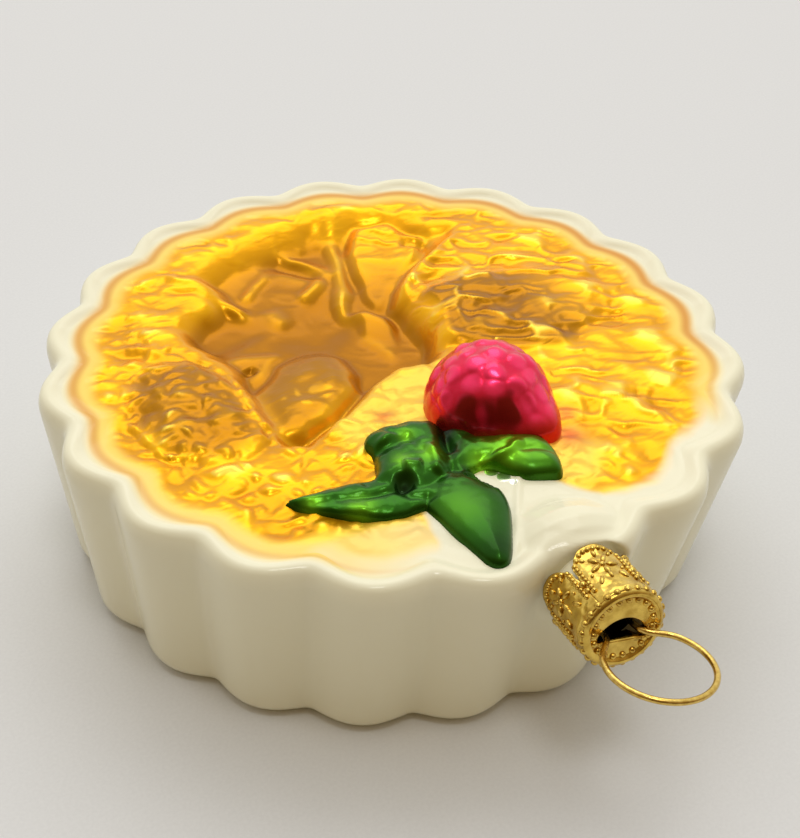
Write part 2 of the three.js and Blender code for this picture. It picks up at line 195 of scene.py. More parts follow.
# Pieces of crust: outline, height at the middle, slope along x and y, width of the broken edge and
# how much the piece is domed.
SHARDS = {
    "left": ([(-31.5, 4), (-28, 10.5), (-24, 10.6), (-20, 9.8), (-18.2, 7), (-17.7, 2), (-18.4, -3),
              (-19.3, -8.5), (-25, -10), (-31, -5)], 24.9, (0.03, -0.01), 1.2, 0.5),
    "right": ([(9.8, 7.3), (12, 7.8), (19, 7.2), (23, 5.2), (28, 3.8), (33, 3.2), (31, -7),
               (19, -12), (12, -9), (7.2, -4.5), (8.6, 0), (10, 3)], 25.1, (-0.02, 0.03), 1.1, 0.2),
    "front": ([(-16.9, 1.8), (-14.5, 3.8), (-10.8, 6.5), (-7.1, 7.6), (-4, 6.7), (-2.7, 3.8),
               (-3.4, -0.1), (-5, -4), (-7.5, -5.8), (-11.9, -8), (-15, -9.1), (-18.1, -8.1),
               (-18.6, -6.2), (-17.9, -1.7)], 23.0, (0.0, -0.12), 1.8, 0.7),
    "back": ([(12.5, 27), (8.6, 22.5), (5.3, 14.5), (5.2, 9.3), (7.9, 10), (14.3, 13.8),
              (20, 19.4), (17, 25)], 22.7, (0.078, 0.112), 1.6, -0.3),
    "spur": ([(2, 11.6), (1.5, 7.2), (2.2, 3.6), (2.6, 0), (4.8, 2.2), (6.2, 5), (6.5, 8.4),
              (4.6, 10.8)], 21.9, (0.1, 0.2), 1.3, 0.3),
    "ledge": ([(-12.2, 28.3), (-6.1, 34), (2.4, 34), (11, 33), (8.4, 24.4), (4.5, 25.3),
               (-0.2, 25.8), (-3.7, 22.3), (-8.2, 19.7), (-10.6, 22.7)], 22.2, (0, 0.1), 1.6, 0.3),
    "chip": ([(-11.5, 20.5), (-8.1, 20.2), (-6, 21), (-3.2, 23.2), (-0.8, 25.4), (0.5, 21.7),
              (4.4, 20.1), (2.5, 18.4), (-1.2, 16.6), (-5.5, 15), (-8, 16)],
             21.4, (0.03, 0.08), 1.2, 0.3),
    "step": ([(-17.5, 21), (-16, 26.5), (-13.5, 25.4), (-8.8, 20), (-7.2, 16.4), (-9.6, 16.6),
              (-12.4, 19.6), (-14, 18)], 22.9, (-0.02, 0.09), 1.2, 0.3),
    "wedge": ([(-16.2, 9.4), (-13.9, 10.6), (-9.8, 8), (-15.6, 3.8)], 21.6, (0, 0.05), 1.0, 0.2),
}

# Folds and broken edges of the crust: the line they follow, half width and height.
FOLDS = [
    ([(10.8, 31), (9.0, 26), (7.1, 21.6), (5.5, 18.2), (3.3, 14.2), (2, 11.2), (1.9, 7)], 0.9, 1.04),
    ([(11.6, 32.5), (10.2, 29), (8.4, 24.5)], 2.4, 0.64),
    ([(1.9, 8), (2.2, 4), (2.8, 0)], 0.75, 0.4),
    ([(24.6, 18), (17, 13.9), (10.4, 9.8), (7, 8.9)], 0.9, 0.8),
    ([(23, 21.5), (18, 17.8), (12.2, 14)], 1.2, 0.4),
    ([(0.8, 27.4), (3, 24.6), (4.9, 21.1), (5.1, 18.3)], 0.83, 0.64),
    ([(-0.8, 25.4), (-3.2, 23.2), (-6.6, 20.5), (-8.1, 19.9)], 0.7, 0.7),
    ([(4.6, 20.3), (2.5, 18.8), (-0.1, 17.3), (-1.4, 17.1)], 0.8, 0.9),
    ([(-1.1, 24.2), (0.3, 21.9), (3.3, 19.6)], 0.7, 0.32),
    ([(-16.2, 27), (-13.5, 25), (-11.7, 23.4), (-9.1, 19.8)], 1.05, 0.56),
    ([(-12.9, 23.8), (-11.4, 20.7), (-9.3, 17), (-7.3, 16.2)], 0.7, 0.4),
    ([(-5.4, 17.1), (-5.5, 14.9), (-5, 13.2)], 1.2, 0.48),
    ([(-12.2, 20.5), (-13.9, 18.3), (-15.6, 18.8)], 0.75, 0.64),
    ([(-28, 15.8), (-25.3, 14.9), (-22.9, 13.1), (-21.2, 10)], 0.75, 0.72),
    ([(-16.2, 9.2), (-13.9, 10.3), (-10, 8), (-12.8, 6), (-15.6, 4.2)], 0.7, 0.48),
    ([(-17.5, 2.3), (-18.1, -2.3), (-19, -7)], 0.7, 0.48),
    ([(-18, -10.5), (-11, -9.4), (-6.5, -7.2), (-3, -5.8)], 1.35, 0.32),
    ([(-11.6, 1.2), (-9.9, 1.1), (-8.4, 1.6)], 0.7, 0.28),
    ([(-5.4, 1.4), (-7.2, -1.3), (-9.2, -2.4)], 0.75, 0.28),
    ([(-14.6, -2.6), (-12, -3.4), (-10.4, -5.2)], 0.75, 0.24),
    ([(-4, -7), (0, -5.6), (3.4, -6.6)], 1.8, 0.28),
    ([(10.2, 3), (9, 0), (7.6, -4.3)], 0.7, 0.48),
    ([(9.6, 7.4), (12.2, 7.9), (19, 7.3), (23, 5.3), (28.5, 3.9), (33.5, 3.6)], 0.7, 0.4),
    ([(19, 13.4), (23.5, 8.8), (28, 7)], 0.75, 0.32),
    ([(11, -16.5), (14, -20.5), (16.5, -24.5)], 0.9, 0.48),
    ([(12.5, -16), (17, -22), (20.5, -29.5)], 1.05, 0.4),
    ([(13.6, -17.5), (16.5, -19.5), (20.5, -21.5)], 0.75, 0.32),
]

# Dents: middle, half length, half width, turn from +X in degrees, depth.
DENTS = [
    ((2.1, 23.5), 3.2, 1.1, -53, 0.5),
    ((17.5, 19.2), 1.6, 1.0, -50, 0.8),
    ((-13.9, 7.0), 0.8, 0.6, 10, 0.6),
    ((-2, 11), 5.5, 3.5, 30, 0.6),
    ((-13, 15), 4.5, 2.8, 10, 0.5),
    ((13, 9.6), 2.5, 0.8, 0, 0.4),
]

# Where the opaque cream-white lacquer covers the crust, beside the mint and over the neck, and
# where it only veils the yellow. Each has an outline, how far it fades, and its strength.
CREAM = [
    ([(-12, -27), (-13, -30), (-14.5, -33), (-17, -37), (-16, -46), (22, -46), (20.5, -37.5),
      (12.5, -36.9), (9, -36.2), (5.4, -34.2), (3.2, -31), (1.5, -28), (-1, -26), (-5, -24)],
     2.4, 1.0),
    ([(-12.5, -13), (-12, -9.5), (-8, -8), (-4, -6), (1, -5), (5, -6), (8, -12), (2, -18),
      (-8, -16)], 2.6, 0.45),
    ([(-27, -25.5), (-22, -24.5), (-13, -26.5), (-10, -33), (-18, -36), (-26, -29.5)], 2.6, 0.62),
    ([(1.5, -28), (6, -25), (9.5, -24), (10.5, -28), (7, -32), (3, -31)], 2.0, 0.45),
]

# How strongly the amber line is sprayed along the crease: degrees from +X, and strength.
LINE_SPRAY = [(0, 1), (60, 0.9), (120, 0.8), (170, 0.75), (200, 0.5), (228, 0.35), (244, 0),
              (305, 0), (330, 0.9), (360, 1)]

# The mould's parting line, left standing across the white enamel beside the neck.
SEAM = [(0.2, -26.7), (-3.8, -31.6), (-9.6, -39.1)]

# Orange overspray beside the raspberry: middle, reach and strength.
BLUSH = [((8.6, -24.8), 1.9, 0.9), ((10.6, -21.6), 1.5, 0.8), ((-6.8, -11.2), 1.2, 0.7)]

# A bare patch of the silvering, left between two leaves.
SILVER = [((-2.6, -23.8), 0.8, 1.3), ((-2.4, -25.2), 0.9, 1.3), ((-1.8, -26.6), 0.9, 1.3),
          ((-1.4, -27.8), 0.6, 1.1)]


def lobe(angle, soft):
    """1 on the crest of a flute and 0 in the valley; a larger softness rounds the valley."""
    wave = np.sqrt(np.cos(LOBES / 2 * angle) ** 2 + soft * soft) - soft
    return wave / (math.sqrt(1 + soft * soft) - soft)


def ring_radius(ring, angle):
    valley, crest, soft = ring
    return blend(valley, crest, lobe(angle, soft))


def place(radius, angle, z):
    """Points on a ring of the dish, with the rim's offset and the fuller side."""
    up = np.clip(z / WALL_TOP_Z, 0, 1)
    facing = np.clip(np.cos(angle - FULLER_SIDE["angle"]), 0, None) ** FULLER_SIDE["power"]
    r = radius * (1 + blend(FULLER_SIDE["foot"], FULLER_SIDE["rim"], up) * facing)
    return np.stack([r * np.cos(angle) + RIM_OFFSET[0] * up,
                     r * np.sin(angle) + RIM_OFFSET[1] * up, np.broadcast_to(z, r.shape)], -1)


def line_strength(angle):
    """How strongly the amber line is sprayed, by direction from the middle."""
    return np.interp(np.mod(np.degrees(angle), 360), *zip(*LINE_SPRAY))


def line_distance(radius, angle):
    """How far a place lies inside the middle of the amber line, which waves less than the rim."""
    middle = sum(CREASE_RING[:2]) / 2
    inwards = np.clip(1.9 * line_strength(angle) - 0.7, 0, None)
    return blend(middle, ring_radius(CREASE_RING, angle), 0.5) - inwards - radius


def shard_height(shard, x, y):
    outline, top, slope, edge, dome = shard
    cx, cy = np.mean(outline, 0)
    depth = inset(outline, x, y)
    plane = top + slope[0] * (x - cx) + slope[1] * (y - cy)
    rise = dome * (ease(depth / 5) - 0.5)
    return plane + rise - 4.5 * (1 - step(depth, -edge, edge))


def broken_surface():
    """Hollow and pieces of crust as a grid of heights, with every corner rounded off."""
    line = np.arange(-CRUST_GRID["reach"], CRUST_GRID["reach"], CRUST_GRID["pitch"])
    x, y = np.meshgrid(line, line, indexing="ij")
    wx, wy = x + 0.5 * hills(x, y, 3.1, 3), y + 0.5 * hills(x, y, 3.4, 4)
    depth = inset(HOLLOW, wx, wy)
    slope = blend(4.6, 9.5, step(y - 0.2 * x, 4, 20))
    floor = HOLLOW_DEPTH + FLOOR_SWELL * np.hypot(hills(x, y, 8, 5), 0.08)
    z = CRUST_Z - floor * ease((depth + 0.5) / slope)
    for shard in SHARDS.values():
        z = soft_max(z, shard_height(shard, wx, wy), 0.5)
    fold = np.zeros(x.shape)
    for points, width, height in FOLDS:
        away, along = to_line(points, wx, wy)
        taper = step(along, -0.05, 0.3) * step(1 - along, -0.05, 0.3)
        fold = np.maximum(fold, height * taper * np.exp(-((away / width) ** 2)))
    z = z + fold
    cells = ROUNDING["cells"]
    away = np.arange(-cells, cells + 1) * CRUST_GRID["pitch"]
    weights = np.exp(-(away / ROUNDING["spread"]) ** 2 / 2)
    weights /= weights.sum()

    def rounded(row):
        return np.convolve(np.pad(row, cells, "edge"), weights, "valid")

    for axis in (0, 1):
        z = np.apply_along_axis(rounded, axis, z)
    return line, z, depth, fold


def read_grid(line, values, x, y):
    """Value of a grid at any place, by straight blending between its four nearest points."""
    u, v = (x - line[0]) / (line[1] - line[0]), (y - line[0]) / (line[1] - line[0])
    i, j = u.astype(int), v.astype(int)
    near = blend(values[i, j], values[i + 1, j], u - i)
    return blend(near, blend(values[i, j + 1], values[i + 1, j + 1], u - i), v - j)


def crust(x, y, inward):
    """Height of the crust, and the values that its lacquer is coloured by."""
    line, *grids = broken_surface()
    z, depth, fold = (read_grid(line, grid, x, y) for grid in grids)
    wx, wy = x + 0.4 * hills(x, y, 2.1, 3), y + 0.4 * hills(x, y, 2.4, 4)
    for (cx, cy), length, width, turn, deep in DENTS:
        c, s = math.cos(math.radians(turn)), math.sin(math.radians(turn))
        along, across = (x - cx) * c + (y - cy) * s, (y - cy) * c - (x - cx) * s
        z = z - deep * np.exp(-((along / length) ** 4 + (across / width) ** 4))

    on_left = step(inset(SHARDS["left"][0], x, y), -1, 1.5)
    on_right = step(inset(SHARDS["right"][0], x, y), -1, 1.5)
    open_crust = 1 - step(depth, -0.8, 2.5)
    back = step(inset([(11.6, 24.5), (9, 19.9), (13.8, 16.5), (18, 21), (16, 24.5)], x, y), -1, 1)
    smooth_spot = 0.65 * np.exp(-((x + 22) ** 2 + (y - 4.5) ** 2) / 22)
    rough = np.clip(open_crust + on_left + on_right + 0.8 * back - smooth_spot, 0.12, 1)
    edge = step(inward, 2.0, 4.8)
    cream = np.zeros(x.shape)
    for outline, fade, strength in CREAM:
        cream = np.maximum(cream, strength * step(inset(outline, wx, wy), -fade, fade * 0.6))
    rough = rough * edge * (1 - 0.8 * cream)

    # Lumps are drawn out one way over most of the crust, and rounder towards the mint.
    c, s = math.cos(COMBED), math.sin(COMBED)
    p, q = wx * c + wy * s, wy * c - wx * s
    bent = p + 1.2 * hills(x, y, 3.1, 6), q + 0.8 * hills(x, y, 2.6, 7)
    creases = np.hypot(hills(bent[0] / 2.1, bent[1], 1.9, 8), 0.16)
    finer = np.hypot(hills(bent[0] / 1.7, bent[1], 1.3, 18), 0.2)
    coarse = 0.65 * (1.1 - creases) ** 2 + 0.35 * (1.1 - finer)
    round_ones = pebbles(wx + 1.1 * hills(x, y, 2.8, 9), wy + 0.6 * hills(x, y, 2.2, 19), 2.3, 10)
    front = step(-(x + 0.6 * y) / 40, -0.1, 0.45)
    lumps = blend(coarse, 0.7 * round_ones + 0.3 * coarse, front)
    swell = hills(x, y, blend(3.6, 2.7, on_left), 12) * 0.6 + hills(bent[0] / 1.8, bent[1], 2.2, 14) * 0.4
    relief = blend(0.62, 0.5, front) * (lumps - 0.55) + blend(0.34, 0.46, front) * swell
    pillow = 0.12 * np.sin(np.pi * np.clip(inward / 3.8, 0, 1))
    z = z + rough * relief + pillow + 0.2 * np.exp(-((to_line(SEAM, x, y)[0] / 0.35) ** 2))

    # Brown on the shards, strongest in their low places: partly the lacquer's tone, partly painted shade.
    shard_brown_and_shade = (0.85 * on_left * step(inset(SHARDS["left"][0], x, y), 0, 2.5) * step(y, -11.5, -4)
            + on_right * step(inset(SHARDS["right"][0], x, y), 0, 1.6) * (1 - step(x, 18, 31))
            + 0.85 * step(inset(SHARDS["front"][0], x, y), 0, 3))
    shard_brown_and_shade = shard_brown_and_shade * (1 - 0.85 * step(relief, 0.12, 0.35))
    # deep turns the hollows amber, partly painted shade; crest lightens the tops as a painted highlight.
    fields = {
        "deep": step(CRUST_Z - z, 0.4, 3.4) * edge * (1 - 0.45 * np.clip(fold, 0, 1)),
        "crest": np.clip(blend(0.45, 0.55, front) + relief * rough * 1.6 + 0.35 * fold, 0, 1),
        "shard_brown_and_shade": np.clip(shard_brown_and_shade, 0, 1),
        "cream": cream,
        "blush": spots(BLUSH, x, y),
        "silver": spots(SILVER, x, y),
    }
    return z, fields


# --- Frame of the hanger: local +Z runs out along the neck, from the cap's outer face -------------

CAP_FACE = (-3.4, -48.6, 21.6)
CAP_YAW = math.radians(11.2)
CAP_PITCH = math.radians(8.4)
CAP_ROLL = math.radians(-8)
HANGER = (Matrix.Translation(CAP_FACE) @ Matrix.Rotation(-CAP_YAW, 4, "Z")
          @ Matrix.Rotation(math.pi / 2 - CAP_PITCH, 4, "X") @ Matrix.Rotation(CAP_ROLL, 4, "Z"))
NECK_FLARE = [(-7.6, 3.7), (-8.3, 4.2), (-9.3, 5.3), (-10.6, 6.3), (-12.2, 6.9), (-13.8, 6.9),
              (-15.6, 6.2), (-17.6, 4.4), (-19, 2.4)]
NECK_SQUASH = 0.92                  # the root of the neck is lower than it is wide
NECK_END = NECK_FLARE[-1][0]
CAP_ROOM = {"level": -8.25, "flat": 4.9, "edge": 5.6}   # the wall is set back under the cap


def to_hanger(points):
    inverse = np.array(HANGER.inverted())
    return points @ inverse[:3, :3].T + inverse[:3, 3]


def from_hanger(points):
    matrix = np.array(HANGER)
    return np.asarray(points) @ matrix[:3, :3].T + matrix[:3, 3]


def neck_top(x, y):
    """Height of the top of the neck where it runs into the dish, and 0 beside it."""
    out = -math.sin(CAP_YAW), -math.cos(CAP_YAW)
    level = (x - CAP_FACE[0]) * out[0] + (y - CAP_FACE[1]) * out[1]
    across = (x - CAP_FACE[0]) * math.cos(CAP_YAW) - (y - CAP_FACE[1]) * math.sin(CAP_YAW)
    along = level / math.cos(CAP_PITCH)
    radius = np.interp(along, *zip(*sorted(NECK_FLARE)))
    inside = np.clip(radius ** 2 - across ** 2, 0, None)
    height = np.sqrt(inside) * NECK_SQUASH / math.cos(CAP_PITCH)
    shown = (inside > 0) & (along > NECK_END)
    return np.where(shown, CAP_FACE[2] + math.tan(CAP_PITCH) * level + height, 0)


def dish_points():
    """Every vertex of the dish, ring by ring from the crust's disc to the middle of the base."""
    n = DISC_CELLS
    a, b = np.meshgrid(np.linspace(-1, 1, n + 1), np.linspace(-1, 1, n + 1), indexing="ij")
    with np.errstate(divide="ignore", invalid="ignore"):
        flat = np.abs(a) > np.abs(b)
        share = np.where(flat, a, b)
        angle = np.where(flat, math.pi / 4 * b / a, math.pi / 2 - math.pi / 4 * a / b)
    angle = np.nan_to_num(angle)
    angle = np.where(share < 0, angle + math.pi, angle).ravel()
    share = np.abs(share).ravel()
    crease = ring_radius(CREASE_RING, angle)
    radius = share * blend(CRUST_RADIUS, crease, share ** 4)
    disc = place(radius, angle, CRUST_Z)
    order = np.flatnonzero(share > 1 - 1e-9)
    order = order[np.argsort(np.mod(angle[order], 2 * math.pi))]
    inward = (crease - radius) * 0.97
    z, fields = crust(disc[:, 0], disc[:, 1], inward)
    lip = step(inward, 0, 1.2)
    disc[:, 2] = blend(CREASE_Z, z, lip)
    fields["line"] = line_strength(angle)
    fields["beside"] = line_distance(radius, angle)
    turn = np.arange(len(order)) * 2 * math.pi / len(order)

    profile = round_off(RIM_PROFILE, 3)
    turns = np.linspace(0, len(profile) - 1, RIM_ROWS + 1)[1:]
    rings, besides = [], []
    for t in turns:
        f, z = (np.interp(t, range(len(profile)), profile[:, k]) for k in (0, 1))
        wall, inner = ring_radius(WALL_TOP_RING, turn), ring_radius(CREASE_RING, turn)
        rings.append(place(blend(wall, inner, f) - INSIDE_CAD, turn, z))
        besides.append(line_distance(blend(wall, inner, f), turn))
    for i in range(1, WALL_ROWS + 1):
        f = i / WALL_ROWS
        z = blend(WALL_TOP_Z, FOOT_RADIUS, f)
        r = blend(ring_radius(WALL_TOP_RING, turn), ring_radius(BASE_RING, turn), f)
        rings.append(place(r - INSIDE_CAD, turn, z))
    for i in range(1, FOOT_ROWS + 1):
        tilt = math.pi / 2 * (1 - i / FOOT_ROWS)
        back = FOOT_RADIUS * (1 - math.sin(tilt))
        z = FOOT_RADIUS * (1 - math.cos(tilt))
        rings.append(place(ring_radius(BASE_RING, turn) - back - INSIDE_CAD, turn, z))
    for i in range(1, BASE_ROWS):
        r = (ring_radius(BASE_RING, turn) - FOOT_RADIUS) * (1 - i / BASE_ROWS)
        rings.append(place(r, turn, 0.0))
    rest = np.concatenate(rings)
    besides = np.concatenate(besides)
    points = np.concatenate([disc, rest, [[0, 0, 0]]])
    blank = {"deep": 0, "crest": 0.5, "shard_brown_and_shade": 0, "cream": 0, "blush": 0, "silver": 0}
    extra = len(rest) + 1
    merged = {k: np.concatenate([fields[k], np.full(extra, v)]) for k, v in blank.items()}
    merged["beside"] = np.concatenate([fields["beside"], besides, np.full(extra - len(besides), -9.0)])
    merged["line"] = np.concatenate([fields["line"], np.tile(line_strength(turn), len(rings)), [0]])
    return points, merged, order, len(disc), len(rings)


def shape_neck(points, top_count):
    """Swells the rim over the neck, and sets the wall back from the room that the cap takes."""
    top = slice(0, top_count)
    x, y = points[top, 0], points[top, 1]
    points[top, 2] = soft_max(points[top, 2], neck_top(x, y), 1.4)
    local = to_hanger(points)
    away = np.hypot(local[:, 0], local[:, 1])
    near = (local[:, 2] > -16) & (away < 7)
    out, widths = zip(*NECK_FLARE[:5])
    flare = np.interp(away, widths, out) - 3 * step(away, 6.0, 7.5)
    swollen = soft_max(local[:, 2], flare, 1.0)
    local[:, 2] = np.where(near & (points[:, 2] < 24), swollen, local[:, 2])
    level = CAP_ROOM["level"]
    set_back = blend(local[:, 2], level, 1 - step(away, CAP_ROOM["flat"], CAP_ROOM["edge"]))
    local[:, 2] = np.where(local[:, 2] > level, set_back, local[:, 2])
    return from_hanger(local)


def glass_dish():
    points, fields, order, disc_count, ring_count = dish_points()
    around = len(order)
    points = shape_neck(points, disc_count + around * RIM_ROWS)
    n = DISC_CELLS
    i, j = np.meshgrid(np.arange(n), np.arange(n), indexing="ij")
    low = (i * (n + 1) + j).ravel()
    faces = np.stack([low, low + n + 1, low + n + 2, low + 1], 1).tolist()
    rows = [order] + [disc_count + k * around + np.arange(around) for k in range(ring_count)]
    for inner, outer in zip(rows[:-1], rows[1:]):
        after_in, after_out = np.roll(inner, -1), np.roll(outer, -1)
        faces += np.stack([inner, outer, after_out, after_in], 1).tolist()
    middle = len(points) - 1
    faces += [[a, middle, b] for a, b in zip(rows[-1].tolist(), np.roll(rows[-1], -1).tolist())]
    return build("glass_dish", points, faces, fields)


# --- Raspberry ------------------------------------------------------------------------------------

BERRY = {"centre": (4.0, -15.9, 24.0), "radii": (7.3, 7.3, 8.0)}
# Its foot runs out to one side: direction and half width in degrees, and share of the radius.
BERRY_FOOT = (-73, 26, 0.27)
# Rings of drupelets: degrees down from the top, and how many. Each is a cap of this half angle.
DRUPELET_RINGS = [(3, 1), (20, 6), (38, 11), (56, 16), (74, 19), (91, 20)]
DRUPELET = 10.5

# The smooth band across the near side, painted maroon as a reflection of the dim room: directions from
# the raspberry's middle.
PAINTED_REFLECTION_BAND = [(-0.72, -0.46, 0.5), (-0.54, -0.64, 0.54), (-0.32, -0.77, 0.53)]


def raspberry():
    around, down = 220, 110
    turn = np.arange(around) * 2 * math.pi / around
    tilt = np.radians(np.linspace(0.3, 115, down))
    turn, tilt = np.meshgrid(turn, tilt)
    d = np.stack([np.sin(tilt) * np.cos(turn), np.sin(tilt) * np.sin(turn), np.cos(tilt)], -1)
    d = d.reshape(-1, 3)
    reach = 1 / np.sqrt(((d / np.array(BERRY["radii"])) ** 2).sum(1))
    way, half, share = BERRY_FOOT
    away = (np.degrees(np.arctan2(d[:, 1], d[:, 0])) - way + 180) % 360 - 180
    reach = reach * (1 + share * np.exp(-((away / half) ** 2)) * step(1 - d[:, 2], 0.3, 0.95))
    rng = np.random.default_rng(21)
    lumps = np.zeros(len(d))
    for tilt_deg, count in DRUPELET_RINGS:
        start = rng.uniform(0, 1)
        for k in range(count):
            t = math.radians(tilt_deg + rng.uniform(-3, 3))
            a = (k + start + rng.uniform(-0.12, 0.12)) / count * 2 * math.pi
            middle = np.array([math.sin(t) * math.cos(a), math.sin(t) * math.sin(a), math.cos(t)])
            angle = np.degrees(np.arccos(np.clip(d @ middle, -1, 1)))
            lumps = np.maximum(lumps, 1 - (angle / DRUPELET) ** 2)
    band = [np.array(way) / np.linalg.norm(way) for way in PAINTED_REFLECTION_BAND]
    facing = np.max([d @ way for way in band], axis=0)
    low = step(-d[:, 2], -0.5, -0.2)
    flat = np.maximum(step(facing, 0.85, 0.96), 0.7 * low)
    waves = hills(8 * d[:, 0] + 3 * d[:, 2], 8 * d[:, 1], 1.6, 23)
    reach = reach + (0.13 * (ease(lumps) - 0.6) + 0.2 * waves) * (1 - 0.9 * flat)
    points = np.array(BERRY["centre"]) + d * reach[:, None]
    faces = ring_quads(down, around) + [list(range(around))]
    # Painted reflection: where the smooth band faces the dim near side, the red turns maroon.
    painted_dark = step(facing + 0.035 * waves, 0.945, 0.995) * (1 - 0.5 * low)
    fields = {"low": low, "painted_dark": painted_dark, "lump": np.clip(lumps, 0, 1)}
    return build("raspberry", points, faces, fields)


# --- Mint -----------------------------------------------------------------------------------------

# Leaves: outline, crown above the crust, how far in the crown starts, and the midrib's line. The
# last outline is the low web of glass that joins the sprig to the raspberry.
LEAVES = [
    ([(-23.3, -18.3), (-21.4, -18.6), (-19.7, -18.9), (-16.9, -19.3), (-14.3, -20.4), (-10, -19.8),
      (-7, -22), (-9, -26.2), (-11, -26.6), (-12.8, -26.3), (-14.7, -26.2), (-16, -25.7),
      (-17.5, -24.8), (-18.9, -23.5), (-20.1, -22.2), (-21.5, -20.9), (-22.7, -19.6)],
     0.95, 2.2, [(-22.6, -19.6), (-17, -22.8), (-8, -23.5)]),
    ([(-11.8, -15), (-11.3, -14.2), (-10.4, -13.8), (-9.3, -13.7), (-7.4, -14), (-4.6, -15),
      (-3.2, -15.9), (-3, -18.5), (-5, -21.5), (-6, -24), (-11, -25), (-14, -22), (-14.2, -20.6),
      (-13, -19.4), (-12.2, -17.9), (-11.8, -16.5)],
     1.8, 2.6, [(-9.6, -14.6), (-8, -18.5), (-7.5, -23)]),
    ([(-3, -18.6), (-1.4, -20.2), (1.3, -21.3), (3.4, -22.1), (4.6, -23.2), (5.2, -25),
      (4.9, -27.2), (4.2, -29), (3.2, -29.9), (1.6, -29.3), (0.2, -28.6), (-0.6, -27.5),
      (-1.7, -25.7), (-2.8, -24.3), (-4.4, -24.4), (-6.5, -25), (-7, -22), (-4.6, -20.4)],
     1.6, 2.6, [(4, -27), (0, -24.6), (-6, -23.5)]),
    ([(-11.6, -26.7), (-11.5, -29), (-11.5, -31.2), (-11.3, -34.3), (-11.2, -36.2), (-10.8, -37.2),
      (-10.2, -37.7), (-9.2, -37.5), (-8, -36.3), (-6.6, -34.4), (-5.2, -32.4), (-4.1, -30.6),
      (-3.6, -28.6), (-3.9, -26.6), (-5, -24.4), (-7, -23.2), (-10, -24)],
     1.5, 3.8, None),
    ([(-6.2, -15), (-3.6, -15.6), (-1.8, -17.6), (-0.4, -20), (-2.4, -22), (-5.4, -20)],
     1.3, 1.6, None),
]
MINT_GRID = 0.16
MINT_BOX = ((-24.2, 6.0), (-38.3, -12.9))
MINT_SINK = 1.0
# Creases and folds pressed into the sprig: line, half width, height (a crease is below 0).
MINT_FOLDS = [
    ([(-2.8, -16), (-4, -19), (-5.4, -22)], 0.8, -0.9),
    ([(-12.6, -17), (-9.6, -17.8), (-7.2, -17)], 0.8, -0.5),
    ([(-11.9, -16.7), (-9.4, -16.6), (-7.6, -17.4)], 0.5, 0.35),
    ([(-6.9, -19.6), (-7.6, -22.8), (-8.6, -24)], 0.7, 0.6),
    ([(-11.2, -21.2), (-9.2, -22.4)], 0.6, 0.5),
    ([(-6.4, -24.7), (-2.6, -24.8), (0, -25), (2.6, -24.2)], 0.55, 0.55),
    ([(-6, -24.9), (-4.6, -26.2), (-4.2, -28.5)], 0.55, -0.7),
    ([(-13.6, -22.6), (-12.4, -25), (-10, -26.6)], 0.5, -0.35),
    ([(-20.4, -20.5), (-16, -22.6), (-12.6, -23.6)], 0.45, -0.3),
    ([(-22.4, -20.5), (-19.6, -22.6), (-16, -25.2)], 0.5, 0.2),
]
MINT_PIT = ((-12.0, -23.1), 1.0, 0.9)
# Painted shade in creases, the gap and the pit, and painted highlights: middle, reach, strength.
MINT_PAINTED_SHADE = [((-2.8, -17.6), 1.5, 1.4), ((-4.0, -18.9), 1.0, 1.1), ((-5.2, -21.6), 0.9, 0.8),
             ((-12.0, -23.1), 1.2, 1.0), ((-9.6, -35.8), 2.2, 0.6), ((-5.4, -24.9), 0.8, 0.6)]
MINT_PAINTED_HIGHLIGHTS = [((0.4, -24.6), 2.4, 0.9), ((-3.2, -24.4), 1.3, 1.0), ((3.2, -26), 2.6, 0.5),
             ((-7.4, -21.2), 1.2, 0.8), ((-10.6, -20.6), 0.9, 0.8), ((-8, -17.2), 0.8, 0.6),
             ((-17.6, -23.4), 1.3, 0.6), ((-21.4, -20.2), 1.0, 0.6), ((-9.4, -29.2), 2.6, 0.15)]


def mint_height(x, y):
    """Height of the sprig over the crust's plane; well below it outside the leaves."""
    height = np.full(x.shape, -9.0)
    for outline, crown, reach, midrib in LEAVES:
        depth = inset(round_off(outline + outline[:1], 2).tolist()[:-1], x, y)
        pillow = np.sqrt(np.clip(1 - (1 - np.clip(depth / reach, 0, 1)) ** 2, 0, 1))
        leaf = 0.3 + crown * pillow - 3.0 * step(-depth, -0.1, 0.8)
        if midrib:
            leaf = leaf - 0.16 * np.exp(-((to_line(midrib, x, y)[0] / 0.5) ** 2))
        height = soft_max(height, leaf, 0.5)
    for points, width, rise in MINT_FOLDS:
        away, along = to_line(points, x, y)
        taper = step(along, -0.05, 0.25) * step(1 - along, -0.05, 0.25)
        height = height + rise * taper * np.exp(-((away / width) ** 2))
    (cx, cy), radius, deep = MINT_PIT
    height = height - deep * np.exp(-((np.hypot(x - cx, y - cy) / radius) ** 4))
    uneven = blend(1, 0.15, step(-y, 25, 28))
    return height + uneven * (0.1 * hills(x, y, 1.5, 31) + 0.05 * hills(x, y, 0.7, 32))


def spots(places, x, y):
    """Soft round patches of colour, joined where they meet."""
    shown = [strength * np.exp(-((x - cx) ** 2 + (y - cy) ** 2) / reach ** 2)
             for (cx, cy), reach, strength in places]
    return np.max(shown, 0)


